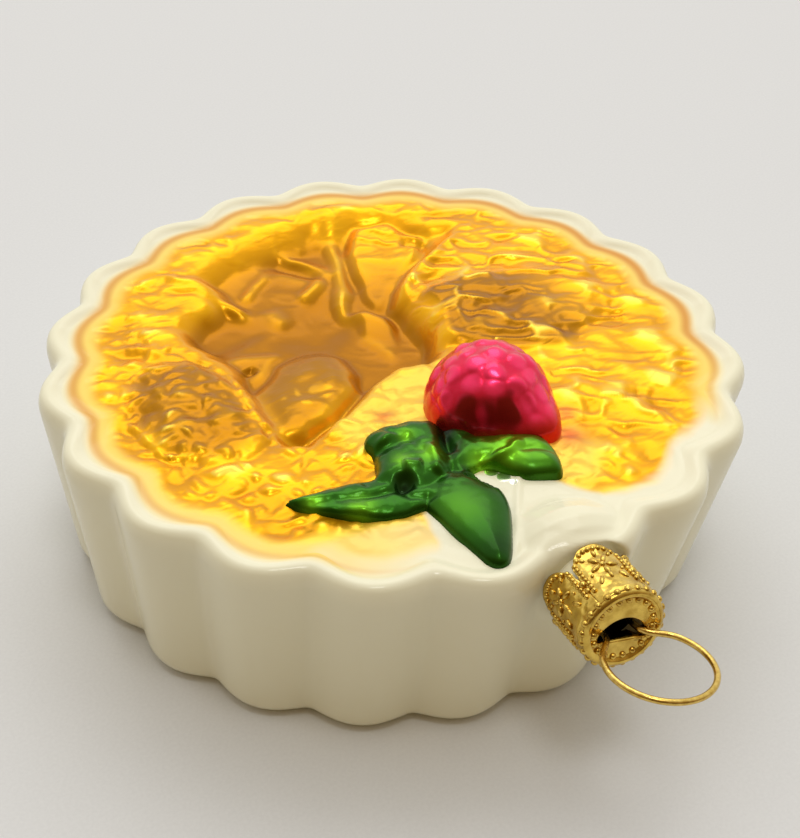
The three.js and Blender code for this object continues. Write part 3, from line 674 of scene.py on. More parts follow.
def mint_sprig():
    xs = np.arange(*MINT_BOX[0], MINT_GRID)
    ys = np.arange(*MINT_BOX[1], MINT_GRID)
    x, y = np.meshgrid(xs, ys, indexing="ij")
    height = mint_height(x, y)
    z = CRUST_Z + np.clip(height, -MINT_SINK, None)
    kept = height > -MINT_SINK + 0.02
    index = -np.ones(x.shape, int)
    near = kept.copy()
    near[1:] |= kept[:-1]
    near[:-1] |= kept[1:]
    wide = near.copy()
    wide[:, 1:] |= near[:, :-1]
    wide[:, :-1] |= near[:, 1:]
    index[wide] = np.arange(wide.sum())
    corners = [index[:-1, :-1], index[1:, :-1], index[1:, 1:], index[:-1, 1:]]
    quads = np.stack(corners, -1).reshape(-1, 4)
    faces = quads[(quads >= 0).all(1)].tolist()
    points = np.stack([x[wide], y[wide], z[wide]], 1)
    # Colour fields: painted shade low down and in creases, painted highlights where the leaves face the
    # light.
    fields = {"height": np.clip(height[wide] / 2.2, 0, 1), "painted_dark": spots(MINT_PAINTED_SHADE, x, y)[wide],
              "thin": spots(MINT_PAINTED_HIGHLIGHTS, x, y)[wide]}
    return build("mint_sprig", points, faces, fields)


# --- Crown cap and wire, in the hanger's frame ----------------------------------------------------

CAP_RADIUS = 4.6
CAP_LENGTH = 8.0
PETALS = 5
PETAL_TURN = math.radians(26)
SLIT_TOP = -4.6
FLOWER = {"heart": -5.0, "reach": 0.95, "leaves": np.radians([20, 92, 164, 236, 308])}
SHOULDER_BEADS = 25
FACE_BEADS = 19
SHEET = 0.3
SLOT = {"half": 2.9, "bottom": -1.3, "top": 1.1}
BORE_RADIUS = 2.9
WIRE_RADIUS = 0.35
LOOP = {"radius": 5.4, "across": 0.9, "out": 4.9, "drop": -0.6, "open": 40}
LEG = {"across": 1.8, "inside": -5.0, "mouth": -0.2}


def joined(parts):
    """Joins (points, faces) pairs into one."""
    points, faces, start = [], [], 0
    for some, polygons in parts:
        points.append(np.asarray(some, float))
        faces += [[start + k for k in polygon] for polygon in polygons]
        start += len(some)
    return np.concatenate(points), faces


def sheet_patch(outer, inner):
    """A closed piece of sheet between two grids of points of the same size."""
    rows, columns = outer.shape[:2]
    size = rows * columns
    faces = []
    for r in range(rows - 1):
        for c in range(columns - 1):
            k, below = r * columns + c, (r + 1) * columns + c
            quad = [k, k + 1, below + 1, below]
            faces.append(quad)
            faces.append([size + corner for corner in reversed(quad)])
    edge = (list(range(columns)) + [r * columns + columns - 1 for r in range(1, rows)]
            + [(rows - 1) * columns + c for c in range(columns - 2, -1, -1)]
            + [r * columns for r in range(rows - 2, 0, -1)])
    for a, b in zip(edge, edge[1:] + edge[:1]):
        faces.append([b, a, size + a, size + b])
    return np.concatenate([outer.reshape(-1, 3), inner.reshape(-1, 3)]), faces


def bead(centre, outward, radius, length=None, along=None, around=10, rows=6):
    """A stamped bead: a small ellipsoid that stands out of the sheet."""
    n = Vector(outward).normalized()
    t = Vector(along) if along is not None else n.orthogonal()
    t = (t - n * t.dot(n)).normalized()
    s = n.cross(t)
    basis = np.array([t, s, n]).T
    stretch = np.array([length or radius, radius, radius * 0.85])
    points = []
    for r in range(rows + 1):
        tilt = math.pi * r / rows
        for c in range(around):
            turn = 2 * math.pi * c / around
            ball = np.array([math.sin(tilt) * math.cos(turn), math.sin(tilt) * math.sin(turn),
                             math.cos(tilt)])
            points.append(np.array(centre) + basis @ (ball * stretch))
    return points, ring_quads(rows + 1, around)


def on_skirt(arc, along, lift=0.0):
    """A point on the cap's skirt: arc in radians round the neck, along from the face."""
    radius = skirt_radius(along) + lift
    return np.array([radius * math.cos(arc), radius * math.sin(arc), along])


def skirt_radius(along):
    """The skirt flares at its mouth and swells a little under the rolled shoulder."""
    fuller = np.interp(along, [-CAP_LENGTH, -6.5, -2.2, -1.2, -0.6], [0.25, 0.02, 0, 0.05, -0.1])
    return CAP_RADIUS + fuller


def petal_edge(u):
    """How far down the skirt a petal reaches at u, from -1 to 1 across it."""
    return -CAP_LENGTH + 2.1 * np.abs(u) ** 2.6


def petals():
    parts = []
    columns, rows = 37, 46
    half = math.pi / PETALS
    u = np.linspace(-1, 1, columns)[None, :]
    v = np.linspace(0, 1, rows)[:, None]
    for k in range(PETALS):
        middle = PETAL_TURN + 2 * half * k
        s = -0.6 + v * (petal_edge(u) + 0.6)
        gap = 0.028 * step(SLIT_TOP - s, 0, 0.4)
        arc = middle + u * (half - gap)
        lip = 0.1 * np.exp(-(((1 - np.abs(u)) / 0.09) ** 2)) * step(SLIT_TOP - s, 0, 0.5)
        lip = lip + 0.1 * np.exp(-(((1 - v) / 0.035) ** 2))
        rim = 0.05 * hills(arc * 9, s * 2 + 3, 1.0, 41)
        radius = skirt_radius(s) + lip + rim
        outer = np.stack([radius * np.cos(arc), radius * np.sin(arc), s + 0 * arc], -1)
        thin = radius - SHEET
        inner = np.stack([thin * np.cos(arc), thin * np.sin(arc), s + 0 * arc], -1)
        parts.append(sheet_patch(outer[:, ::-1], inner[:, ::-1]))
        parts += petal_stamping(middle, half)
    return parts


def petal_stamping(middle, half):
    """The beaded border and the flower stamped into one petal."""
    parts = []
    inset_u = 0.83
    for side in (-1, 1):
        for s in np.arange(-2.4, petal_edge(inset_u) + 0.2, -0.56):
            parts.append(raised(middle + side * half * inset_u, s, 0.29))
    for u in np.linspace(-0.66, 0.66, 8):
        parts.append(raised(middle + u * half, petal_edge(u) + 0.5, 0.29))
    parts.append(raised(middle, FLOWER["heart"], 0.32))
    for turn in FLOWER["leaves"]:
        arc = middle + FLOWER["reach"] * math.cos(turn) / CAP_RADIUS
        s = FLOWER["heart"] + FLOWER["reach"] * math.sin(turn)
        parts.append(raised(arc, s, 0.28, 0.62, turn))
    for side in (-1, 1):
        parts.append(raised(middle + side * 0.26, -2.9, 0.26, 0.6, math.radians(60 * side)))
        parts.append(raised(middle + side * 0.33, -6.5, 0.22, 0.4, math.radians(-50 * side)))
        parts.append(raised(middle + side * 0.36, -4.0, 0.2))
    parts.append(raised(middle, -3.3, 0.22, 0.5, math.radians(90)))
    parts.append(raised(middle, -6.8, 0.24, 0.45, math.radians(90)))
    parts.append(raised(middle + half, SLIT_TOP + 0.75, 0.42))
    parts.append(raised(middle + half, SLIT_TOP + 1.75, 0.3))
    return parts


def raised(arc, s, radius, length=None, turn=0.0):
    """A bead on the skirt; a long one is turned by turn from the way round the neck."""
    outward = (math.cos(arc), math.sin(arc), 0)
    around, down = np.array([-math.sin(arc), math.cos(arc), 0]), np.array([0, 0, 1])
    along = around * math.cos(turn) + down * math.sin(turn)
    return bead(on_skirt(arc, s, 0.03), outward, radius, length, along)


def slot_reach(angle):
    """Distance from the middle of the D-shaped slot to its edge, at an angle."""
    half, bottom, top = SLOT["half"], SLOT["bottom"], SLOT["top"]
    rise = top - bottom
    radius = (half ** 2 + rise ** 2) / (2 * rise)
    centre = top - radius
    sin = np.sin(angle)
    root = sin ** 2 * centre ** 2 + radius ** 2 - centre ** 2
    round_edge = sin * centre + np.sqrt(np.clip(root, 0, None))
    flat_edge = np.where(sin < -1e-6, bottom / np.minimum(sin, -1e-6), 1e9)
    return np.minimum(round_edge, flat_edge)


def cap_face():
    """The face: a rolled shoulder, a groove, a beaded ring and the lip of the slot."""
    parts = []
    around = 160
    angle = np.linspace(0, 2 * math.pi, around + 1)[None, :]
    profile = [(CAP_RADIUS - 0.1, -0.6), (CAP_RADIUS - 0.2, -0.38), (CAP_RADIUS - 0.45, -0.22),
               (CAP_RADIUS - 0.7, -0.16), (CAP_RADIUS - 0.9, -0.24), (CAP_RADIUS - 1.05, -0.46),
               (CAP_RADIUS - 1.25, -0.52), (CAP_RADIUS - 1.6, -0.5)]
    slot = slot_reach(angle)
    rows = [(np.full_like(angle, r), z) for r, z in profile]
    rows += [(np.minimum(slot + w, CAP_RADIUS - 1.65), z)
             for w, z in ((0.5, -0.45), (0.22, -0.4), (0.06, -0.5), (0.0, -0.75))]
    outer = np.stack([np.stack([r * np.cos(angle), r * np.sin(angle), np.full_like(angle, z)], -1)[0]
                      for r, z in rows])
    inner = outer.copy()
    inner[..., 2] -= SHEET
    inner[0, :, :2] *= 1 - SHEET / CAP_RADIUS
    parts.append(sheet_patch(outer[::-1, ::-1], inner[::-1, ::-1]))
    r = CAP_RADIUS - 0.18
    for k in range(SHOULDER_BEADS):
        a = 2 * math.pi * (k + 0.5) / SHOULDER_BEADS
        parts.append(bead((r * math.cos(a), r * math.sin(a), -0.72),
                          (math.cos(a), math.sin(a), 0.9), 0.4))
    r = CAP_RADIUS - 1.3
    for k in range(FACE_BEADS):
        a = 2 * math.pi * (k + 0.75) / FACE_BEADS
        parts.append(bead((r * math.cos(a), r * math.sin(a), -0.5), (0, 0, 1), 0.36))
    return parts


def slot_flap():
    """The tongue cut from the slot, bent inwards below it."""
    u = np.linspace(-1, 1, 15)[None, :]
    v = np.linspace(0, 1, 10)[:, None]
    x = 2.3 * u * (1 - 0.35 * v ** 2)
    y = SLOT["bottom"] - 0.12 - 0.35 * v + 0.25 * u ** 2 * v
    z = -0.5 - 1.7 * v - 0.15 * np.cos(3 * u)
    outer = np.stack([x, y + 0 * x, z + 0 * x], -1)
    inner = outer - np.array([0, SHEET, 0])
    return [sheet_patch(outer, inner)]


def crown_cap():
    points, faces = joined(petals() + cap_face() + slot_flap())
    return build("crown_cap_stamped", from_hanger(points), faces)


def turned(name, profile, around=64, fields=None):
    """A surface turned about the hanger's axis from (radius, along) points."""
    turn = np.arange(around) * 2 * math.pi / around
    points = [(r * math.cos(t), r * math.sin(t), z) for r, z in profile for t in turn]
    faces = []
    for row in range(len(profile) - 1):
        for c in range(around):
            n = (c + 1) % around
            faces.append([row * around + c, row * around + n, (row + 1) * around + n,
                          (row + 1) * around + c])
    values = {field: np.full(len(points), value) for field, value in (fields or {}).items()}
    return build(name, from_hanger(points), faces, values)


def neck_mouth():
    """The mouth of the glass under the cap."""
    return turned("neck_mouth", round_off([(3.75, -9.5), (3.75, -2.6), (3.6, -1.9), (3.2, -1.8),
                                           (BORE_RADIUS, -2.2), (BORE_RADIUS, -3)]), fields={"cream": 1})


def neck_bore():
    """The unlit bore of the neck, as far as it can be seen through the slot."""
    return turned("neck_bore", [(BORE_RADIUS, -3), (BORE_RADIUS, -7.8), (1.5, -7.9), (0.02, -7.9)])


def wire_route():
    """The wire's middle line: out of the neck, round the open loop and back in."""
    route = [(-LEG["across"], LOOP["drop"], LEG["inside"]), (-LEG["across"], LOOP["drop"], -2.0),
             (-LEG["across"], LOOP["drop"], LEG["mouth"])]
    stops = 24
    for i in range(stops + 1):
        angle = math.radians(-180 + LOOP["open"] + (360 - 2 * LOOP["open"]) * i / stops)
        route.append((LOOP["across"] + LOOP["radius"] * math.sin(angle), LOOP["drop"],
                      LOOP["out"] + LOOP["radius"] * math.cos(angle)))
    route += [(LEG["across"], LOOP["drop"], LEG["mouth"]), (LEG["across"], LOOP["drop"], -2.0),
              (LEG["across"], LOOP["drop"], LEG["inside"])]
    return from_hanger(route)


def wire_loop():
    curve = bpy.data.curves.new("wire_loop_drawn", "CURVE")
    curve.dimensions = "3D"
    curve.bevel_depth = (WIRE_RADIUS - INSIDE_CAD) * MM
    curve.bevel_resolution = 5
    curve.resolution_u = 8
    curve.use_fill_caps = True
    spline = curve.splines.new("NURBS")
    route = wire_route()
    spline.points.add(len(route) - 1)
    for point, place_mm in zip(spline.points, route):
        point.co = (*(place_mm * MM), 1)
    spline.order_u = 4
    spline.use_endpoint_u = True
    made = bpy.data.objects.new("wire_loop_drawn", curve)
    bpy.context.scene.collection.objects.link(made)
    return made


# --- Materials ------------------------------------------------------------------------------------


def linear(hex_colour):
    """An sRGB hex colour as linear RGBA."""
    parts = [int(hex_colour[i:i + 2], 16) / 255 for i in (1, 3, 5)]
    return (*[c / 12.92 if c <= 0.04045 else ((c + 0.055) / 1.055) ** 2.4 for c in parts], 1)


def add(tree, kind, values=None, links=None, stops=None, **settings):
    """Adds a node: its properties, the values and links of its inputs, and a ramp's stops."""
    node = tree.nodes.new(kind)
    for name, value in settings.items():
        setattr(node, name, value)
    for name, value in (values or {}).items():
        node.inputs[name].default_value = linear(value) if isinstance(value, str) else value
    for name, socket in (links or {}).items():
        tree.links.new(socket, node.inputs[name])
    if stops:
        ramp = node.color_ramp.elements
        while len(ramp) < len(stops):
            ramp.new(0.5)
        for element, (position, colour) in zip(ramp, stops):
            element.position = position
            element.color = linear(colour)
    return node


def new_material(name, values):
    """An empty material with its Principled surface; values are the shader's constants."""
    material = bpy.data.materials.new(name)
    material.use_nodes = True
    tree = material.node_tree
    tree.nodes.clear()
    surface = add(tree, "ShaderNodeBsdfPrincipled", values)
    add(tree, "ShaderNodeOutputMaterial", links={"Surface": surface.outputs[0]})
    return material, tree, surface


def lacquered_glass():
    """Mould-blown glass: opaque cream enamel, and clear yellow lacquer over the silvered crust.

    The enamel gives a soft white gloss; the yellow is a metal's shine under a hard clear film.
    Its colour is lighter on the crests and darker between them, a painted highlight and painted
    shade, and amber in the hollows, partly from the lacquer lying thicker there, partly painted shade.
    """
    material, tree, surface = new_material("lacquered_blown_glass", {
        "Specular IOR Level": 0.08, "Coat Roughness": 0.08, "Coat IOR": 1.5})
    field = {name: add(tree, "ShaderNodeAttribute", attribute_name=name).outputs["Fac"]
             for name in ("deep", "crest", "shard_brown_and_shade", "cream", "line", "beside", "blush", "silver")}
    where = add(tree, "ShaderNodeTexCoord").outputs["Object"]

    # Sprayed lacquer drifts in tone over a few millimetres.
    drift = add(tree, "ShaderNodeTexNoise", {"Scale": 1 / (5 * MM), "Detail": 2.0},
                {"Vector": where}).outputs["Fac"]
    # Painted highlight and shade: the gold is lighter on the crests and folds, darker low between lumps.
    gold = add(tree, "ShaderNodeValToRGB", links={"Fac": field["crest"]}, stops=[
        (0.1, "#D8940C"), (0.45, "#EEA80E"), (0.75, "#FBBC16"), (1.0, "#FFE25C")]).outputs[0]
    warm = add(tree, "ShaderNodeMixRGB", {"Color2": "#EFA512"}, {"Fac": drift, "Color1": gold},
               ).outputs[0]
    gold = add(tree, "ShaderNodeMixRGB", {"Fac": 0.5}, {"Color1": gold, "Color2": warm}).outputs[0]
    # Amber in the hollows: partly the lacquer lying thicker there, partly painted shade.
    gold = add(tree, "ShaderNodeMixRGB", {"Color2": "#A86A00"},
               {"Fac": add(tree, "ShaderNodeMath", {1: 0.95}, {0: field["deep"]},
                           operation="MULTIPLY").outputs[0], "Color1": gold}).outputs[0]
    # Brown on the shards, kept off their raised lumps: partly the lacquer's tone, partly painted shade.
    gold = add(tree, "ShaderNodeMixRGB", {"Color2": "#9C6406"},
               {"Fac": add(tree, "ShaderNodeMath", {1: 0.88}, {0: field["shard_brown_and_shade"]},
                           operation="MULTIPLY").outputs[0], "Color1": gold}).outputs[0]

    veil = add(tree, "ShaderNodeMapRange", {"From Max": 0.5, "To Max": 0.85},
               {"Value": field["cream"]}, interpolation_type="SMOOTHSTEP").outputs[0]
    gold = add(tree, "ShaderNodeMixRGB", {"Color2": "#FAD04A"},
               {"Fac": veil, "Color1": gold}).outputs[0]

    # From the crease inwards: an amber line, a pale border, then the gold.
    wander = add(tree, "ShaderNodeTexNoise", {"Scale": 1 / (3 * MM), "Detail": 1.0},
                 {"Vector": where}).outputs["Fac"]
    inward = add(tree, "ShaderNodeMath", links={0: field["beside"], 1: add(
        tree, "ShaderNodeMath", {1: 1.2, 2: -0.6}, {0: wander}, operation="MULTIPLY_ADD").outputs[0]},
        operation="ADD").outputs[0]
    to_gold = add(tree, "ShaderNodeMapRange", {"From Min": 0.7, "From Max": 3.0},
                  {"Value": inward}, interpolation_type="SMOOTHSTEP").outputs[0]
    bare = add(tree, "ShaderNodeMapRange", {"From Min": 0.4, "From Max": 0.95, "To Min": 1.0,
                                            "To Max": 0.0}, {"Value": field["cream"]},
               interpolation_type="SMOOTHSTEP").outputs[0]
    gilt = add(tree, "ShaderNodeMath", links={0: to_gold, 1: bare}, operation="MULTIPLY").outputs[0]
    border = add(tree, "ShaderNodeMapRange", {"From Min": -1.6, "From Max": 0.6},
                 {"Value": field["beside"]}, interpolation_type="SMOOTHSTEP").outputs[0]
    sprayed = add(tree, "ShaderNodeMapRange", {"From Max": 0.3}, {"Value": field["line"]}).outputs[0]
    border = add(tree, "ShaderNodeMath", links={0: border, 1: bare}, operation="MULTIPLY").outputs[0]
    border = add(tree, "ShaderNodeMath", links={0: border, 1: sprayed}, operation="MULTIPLY").outputs[0]
    width = add(tree, "ShaderNodeMath", {1: 0.9, 2: 0.4}, {0: field["line"]},
                operation="MULTIPLY_ADD").outputs[0]
    beside = add(tree, "ShaderNodeMath", links={0: field["beside"]}, operation="ABSOLUTE").outputs[0]
    line = add(tree, "ShaderNodeMapRange", {"To Min": 1.0, "To Max": 0.0},
               {"Value": beside, "From Max": width}, interpolation_type="SMOOTHSTEP").outputs[0]
    line = add(tree, "ShaderNodeMath", links={0: line, 1: field["line"]},
               operation="MULTIPLY").outputs[0]

    colour = add(tree, "ShaderNodeMixRGB", {"Color1": "#F0ECCE", "Color2": "#FFDE6A"},
                 {"Fac": border}).outputs[0]
    colour = add(tree, "ShaderNodeMixRGB", links={"Fac": gilt, "Color1": colour,
                                                  "Color2": gold}).outputs[0]
    colour = add(tree, "ShaderNodeMixRGB", {"Color2": "#DE9830"},
                 {"Fac": line, "Color1": colour}).outputs[0]
    colour = add(tree, "ShaderNodeMixRGB", {"Color2": "#DE6A34"},
                 {"Fac": field["blush"], "Color1": colour}).outputs[0]
    bared = add(tree, "ShaderNodeMapRange", {"From Min": 0.5, "From Max": 0.8},
                {"Value": field["silver"]}, interpolation_type="SMOOTHSTEP").outputs[0]
    colour = add(tree, "ShaderNodeMixRGB", {"Color2": "#D6D0C2"},
                 {"Fac": bared, "Color1": colour}).outputs[0]
    tree.links.new(colour, surface.inputs["Base Color"])
    clear = add(tree, "ShaderNodeMath", {0: 1.0}, {1: field["cream"]}, operation="SUBTRACT").outputs[0]
    shine = add(tree, "ShaderNodeMapRange", {"To Min": 0.7, "To Max": 0.5},
                {"Value": field["deep"]}).outputs[0]
    metal = add(tree, "ShaderNodeMath", links={0: gilt, 1: clear}, operation="MULTIPLY").outputs[0]
    metal = add(tree, "ShaderNodeMath", links={0: metal, 1: shine}, operation="MULTIPLY").outputs[0]
    metal = add(tree, "ShaderNodeMath", links={0: metal, 1: bared}, operation="MAXIMUM").outputs[0]
    tree.links.new(metal, surface.inputs["Metallic"])
    rough = add(tree, "ShaderNodeMapRange", {"To Min": 0.36, "To Max": 0.29}, {"Value": gilt}).outputs[0]
    rough = add(tree, "ShaderNodeMixRGB", {"Color2": "#101010"},
                {"Fac": bared, "Color1": rough}).outputs[0]
    tree.links.new(rough, surface.inputs["Roughness"])
    film = add(tree, "ShaderNodeMapRange", {"To Min": 0.5, "To Max": 0.05}, {"Value": gilt}).outputs[0]
    tree.links.new(film, surface.inputs["Coat Weight"])

    # Fine wrinkles of the mould, drawn out like the lumps; the enamel has only an orange peel.
    combed = add(tree, "ShaderNodeMapping", {"Rotation": (0, 0, -COMBED),
                                             "Scale": (0.45, 1.0, 1.0)}, {"Vector": where}).outputs[0]
    wrinkles = add(tree, "ShaderNodeTexNoise", {"Scale": 1 / (1.3 * MM), "Detail": 1.0,
                                                "Distortion": 0.6}, {"Vector": combed}).outputs["Fac"]
    strength = add(tree, "ShaderNodeMapRange", {"To Min": 0.02, "To Max": 0.18}, {"Value": add(
        tree, "ShaderNodeMath", links={0: gilt, 1: add(
            tree, "ShaderNodeMath", {0: 1.0}, {1: field["deep"]}, operation="SUBTRACT").outputs[0]},
        operation="MULTIPLY").outputs[0]}).outputs[0]
    bump = add(tree, "ShaderNodeBump", {"Distance": 0.5 * MM},
               {"Height": wrinkles, "Strength": strength}).outputs[0]
    tree.links.new(bump, surface.inputs["Normal"])
    return material


def red_lacquer():
    """Clear magenta-red lacquer over silver: a deep metallic shine, and a painted maroon reflection."""
    material, tree, surface = new_material("clear_red_lacquer_on_silver", {
        "Metallic": 0.8, "Roughness": 0.26, "Specular IOR Level": 0.3, "Coat Weight": 0.3,
        "Coat Roughness": 0.05})
    low = add(tree, "ShaderNodeAttribute", attribute_name="low").outputs["Fac"]
    lump = add(tree, "ShaderNodeAttribute", attribute_name="lump").outputs["Fac"]
    painted_dark = add(tree, "ShaderNodeAttribute", attribute_name="painted_dark").outputs["Fac"]
    # Painted highlight: pinker on the drupelets' crowns and upper part, redder low down.
    tone = add(tree, "ShaderNodeValToRGB", links={"Fac": lump}, stops=[
        (0.1, "#E82048"), (0.8, "#FF3466")]).outputs[0]
    tone = add(tree, "ShaderNodeMixRGB", {"Color2": "#DC2420"}, {"Fac": low, "Color1": tone}).outputs[0]
    # Painted reflection of the dim near side: the band turns maroon.
    tone = add(tree, "ShaderNodeMixRGB", {"Color2": "#860A0A"}, {"Fac": painted_dark, "Color1": tone}).outputs[0]
    tree.links.new(tone, surface.inputs["Base Color"])
    where = add(tree, "ShaderNodeTexCoord").outputs["Object"]
    streaks = add(tree, "ShaderNodeTexNoise", {"Scale": 1 / (1.6 * MM), "Detail": 2.0},
                  {"Vector": where}).outputs["Fac"]
    bump = add(tree, "ShaderNodeBump", {"Distance": 0.2 * MM, "Strength": 0.15},
               {"Height": streaks}).outputs[0]
    tree.links.new(bump, surface.inputs["Normal"])
    return material


def green_lacquer():
    """Clear green lacquer over silver: painted highlights along the folds, painted shade near black in
    creases.
    """
    material, tree, surface = new_material("clear_green_lacquer_on_silver", {
        "Metallic": 0.8, "Roughness": 0.3, "Specular IOR Level": 0.2, "Coat Weight": 0.1,
        "Coat Roughness": 0.06})
    height = add(tree, "ShaderNodeAttribute", attribute_name="height").outputs["Fac"]
    where = add(tree, "ShaderNodeTexCoord").outputs["Object"]
    painted_dark = add(tree, "ShaderNodeAttribute", attribute_name="painted_dark").outputs["Fac"]
    thin = add(tree, "ShaderNodeAttribute", attribute_name="thin").outputs["Fac"]
    # Painted shade: a little darker where a leaf sinks to the crust, lighter on its crown.
    tone = add(tree, "ShaderNodeValToRGB", links={"Fac": height}, stops=[
        (0.05, "#204C0B"), (0.4, "#285E0C"), (0.75, "#265A0B"), (1.0, "#2E640D")]).outputs[0]
    # Painted highlight: yellow-green where the leaves face the light.
    tone = add(tree, "ShaderNodeMixRGB", {"Color2": "#7CC41E"}, {"Fac": thin, "Color1": tone}).outputs[0]
    # Painted shade, near black, in the creases, the gap and the pit.
    tone = add(tree, "ShaderNodeMixRGB", {"Color2": "#0E2404"}, {"Fac": painted_dark, "Color1": tone}).outputs[0]
    tree.links.new(tone, surface.inputs["Base Color"])
    strokes = add(tree, "ShaderNodeTexNoise", {"Scale": 1 / (1.1 * MM), "Detail": 2.0},
                  {"Vector": where}).outputs["Fac"]
    bump = add(tree, "ShaderNodeBump", {"Distance": 0.2 * MM, "Strength": 0.1},
               {"Height": strokes}).outputs[0]
    tree.links.new(bump, surface.inputs["Normal"])
    return material


def stamped_brass():
    """Thin stamped brass sheet, bright-dipped: sharp glints, with tone drifting between dies."""
    material, tree, surface = new_material("bright_dipped_stamped_brass", {
        "Metallic": 1.0, "Roughness": 0.2})
    where = add(tree, "ShaderNodeTexCoord").outputs["Object"]
    drift = add(tree, "ShaderNodeTexNoise", {"Scale": 1 / (1.2 * MM), "Detail": 3.0},
                {"Vector": where}).outputs["Fac"]
    tone = add(tree, "ShaderNodeValToRGB", links={"Fac": drift}, stops=[
        (0.35, "#BE9A42"), (0.65, "#E6C460")]).outputs[0]
    tree.links.new(tone, surface.inputs["Base Color"])
    bump = add(tree, "ShaderNodeBump", {"Distance": 0.12 * MM, "Strength": 0.35},
               {"Height": drift}).outputs[0]
    tree.links.new(bump, surface.inputs["Normal"])
    return material


def drawn_brass_wire():
    """Brass wire, drawn and lacquered: a smooth shine broken by faint die marks."""
    material, tree, surface = new_material("drawn_brass_wire", {
        "Metallic": 1.0, "Roughness": 0.22})
    where = add(tree, "ShaderNodeTexCoord").outputs["Object"]
    marks = add(tree, "ShaderNodeTexNoise", {"Scale": 1 / (0.5 * MM), "Detail": 2.0},
                {"Vector": where}).outputs["Fac"]
    tone = add(tree, "ShaderNodeValToRGB", links={"Fac": marks}, stops=[
        (0.3, "#C6A24C"), (0.7, "#E6C670")]).outputs[0]
    tree.links.new(tone, surface.inputs["Base Color"])
    bump = add(tree, "ShaderNodeBump", {"Distance": 0.05 * MM, "Strength": 0.4},
               {"Height": marks}).outputs[0]
    tree.links.new(bump, surface.inputs["Normal"])
    return material


def unlit_bore():
    """Bare glass with darkness behind it: close to black, with a soft edge."""
    material, tree, surface = new_material("bare_glass_over_dark", {
        "Roughness": 0.5, "Specular IOR Level": 0.2})
    where = add(tree, "ShaderNodeTexCoord").outputs["Object"]
    dust = add(tree, "ShaderNodeTexNoise", {"Scale": 1 / (0.8 * MM)}, {"Vector": where}).outputs["Fac"]
    tone = add(tree, "ShaderNodeValToRGB", links={"Fac": dust}, stops=[
        (0.3, "#050504"), (0.8, "#12100C")]).outputs[0]
    tree.links.new(tone, surface.inputs["Base Color"])
    return material


def pale_card():
    """Matte white paper card under the ornament."""
    material, tree, surface = new_material("matte_paper_card", {
        "Roughness": 0.65, "Specular IOR Level": 0.25})
    where = add(tree, "ShaderNodeTexCoord").outputs["Object"]
    fibre = add(tree, "ShaderNodeTexNoise", {"Scale": 1 / (0.4 * MM)}, {"Vector": where}).outputs["Fac"]
    tone = add(tree, "ShaderNodeValToRGB", links={"Fac": fibre}, stops=[
        (0.3, "#D8D9D9"), (0.7, "#DCDDDD")]).outputs[0]
    tree.links.new(tone, surface.inputs["Base Color"])
    return material


# --- Assembly -------------------------------------------------------------------------------------


def stand_for(piece, node, material):
    """Puts a drawn and lacquered piece in the place of a CAD node."""
    piece.data.materials.append(material)
    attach(piece, "root")
    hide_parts(node)


def make_object():
    glass = lacquered_glass()
    stand_for(glass_dish(), "glass_body", glass)
    stand_for(raspberry(), "glass_body", red_lacquer())
    stand_for(mint_sprig(), "glass_body", green_lacquer())
    stand_for(neck_mouth(), "glass_body", glass)
    stand_for(neck_bore(), "glass_body", unlit_bore())
    stand_for(crown_cap(), "crown_cap", stamped_brass())
    stand_for(wire_loop(), "wire_loop", drawn_brass_wire())


# --- Camera, floor and light ----------------------------------------------------------------------

FRAME_SIZE = (800, 838)
CAMERA_PLACE = Vector((-74.53, -112.61, 120.25)) * MM
CAMERA_AIM = Vector((11.80, 12.68, 0)) * MM
CAMERA_ROLL = math.radians(1.68)
SENSOR = 36.0
FOCUS = 1400 / FRAME_SIZE[1] * SENSOR


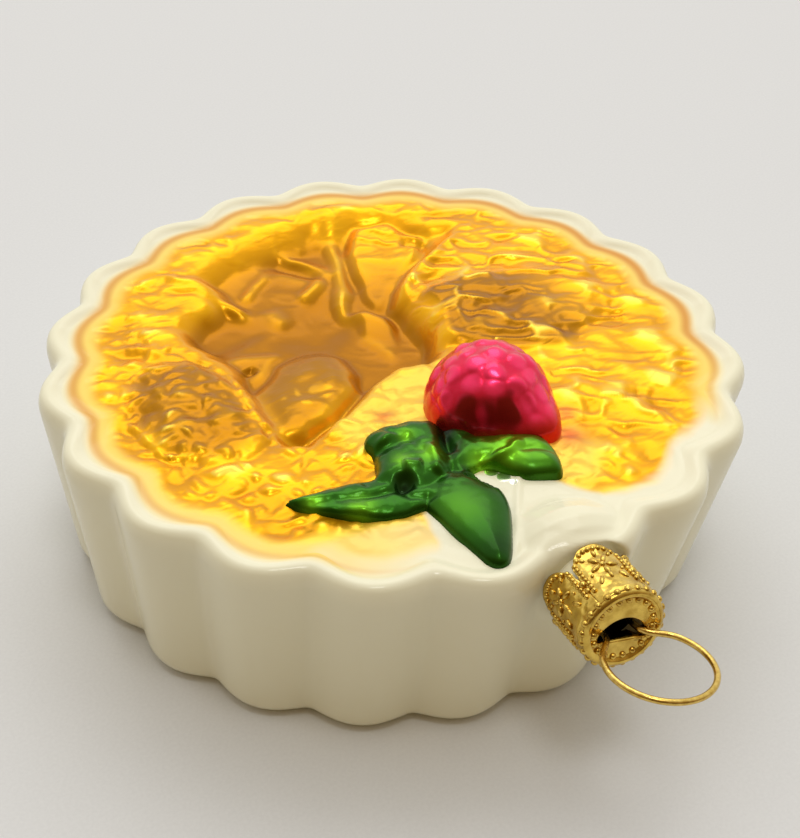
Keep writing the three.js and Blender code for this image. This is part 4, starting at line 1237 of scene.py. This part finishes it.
def make_camera():
    data = bpy.data.cameras.new("camera")
    data.sensor_width = SENSOR
    data.lens = FOCUS
    data.clip_start, data.clip_end = 0.005, 20
    camera = bpy.data.objects.new("camera", data)
    bpy.context.scene.collection.objects.link(camera)
    forward = (CAMERA_AIM - CAMERA_PLACE).normalized()
    right = forward.cross(Vector((0, 0, 1))).normalized()
    up = right.cross(forward)
    tilted_right = right * math.cos(CAMERA_ROLL) + up * math.sin(CAMERA_ROLL)
    tilted_up = up * math.cos(CAMERA_ROLL) - right * math.sin(CAMERA_ROLL)
    camera.matrix_world = Matrix.Translation(CAMERA_PLACE) @ Matrix(
        (tilted_right, tilted_up, -forward)).transposed().to_4x4()
    bpy.context.scene.camera = camera


def area_light(name, place_mm, aim_mm, size_mm, watts, colour):
    data = bpy.data.lights.new(name, "AREA")
    data.shape = "RECTANGLE"
    data.size, data.size_y = size_mm[0] * MM, size_mm[1] * MM
    data.energy = watts
    data.color = linear(colour)[:3]
    light = bpy.data.objects.new(name, data)
    bpy.context.scene.collection.objects.link(light)
    light.location = Vector(place_mm) * MM
    light.rotation_euler = (Vector(aim_mm) - Vector(place_mm)).to_track_quat("-Z", "Y").to_euler()


def make_room():
    floor = build("floor", [(-4000, -4000, 0), (4000, -4000, 0), (4000, 4000, 0), (-4000, 4000, 0)],
                  [[0, 1, 2, 3]], smooth=False)
    floor.data.materials.append(pale_card())
    world = bpy.data.worlds.new("soft_room")
    bpy.context.scene.world = world
    world.use_nodes = True
    tree = world.node_tree
    tree.nodes.clear()
    # The room is brightest behind the object and overhead, and dim on the near side.
    where = add(tree, "ShaderNodeTexCoord").outputs["Generated"]
    along = add(tree, "ShaderNodeVectorMath", {1: (0.5, 0.72, 0.48)}, {0: where},
                operation="DOT_PRODUCT").outputs["Value"]
    tone = add(tree, "ShaderNodeValToRGB", links={"Fac": add(
        tree, "ShaderNodeMapRange", {"From Min": -1.0, "From Max": 1.0}, {"Value": along}).outputs[0]},
        stops=[(0.06, "#5A3E1E"), (0.42, "#A68C62"), (0.72, "#EFEFEE"), (1.0, "#FFFFFF")]).outputs[0]
    background = add(tree, "ShaderNodeBackground", {"Strength": 0.98}, {"Color": tone})
    add(tree, "ShaderNodeOutputWorld", links={"Surface": background.outputs[0]})
    area_light("window", (260, 430, 820), (0, 0, 15), (760, 620), 2.5, "#FFFFFF")
    area_light("ceiling", (-60, -160, 700), (0, 0, 15), (160, 160), 0.7, "#FFFFFF")
    bpy.context.scene.view_settings.view_transform = "Standard"


make_camera()
make_object()
make_room()
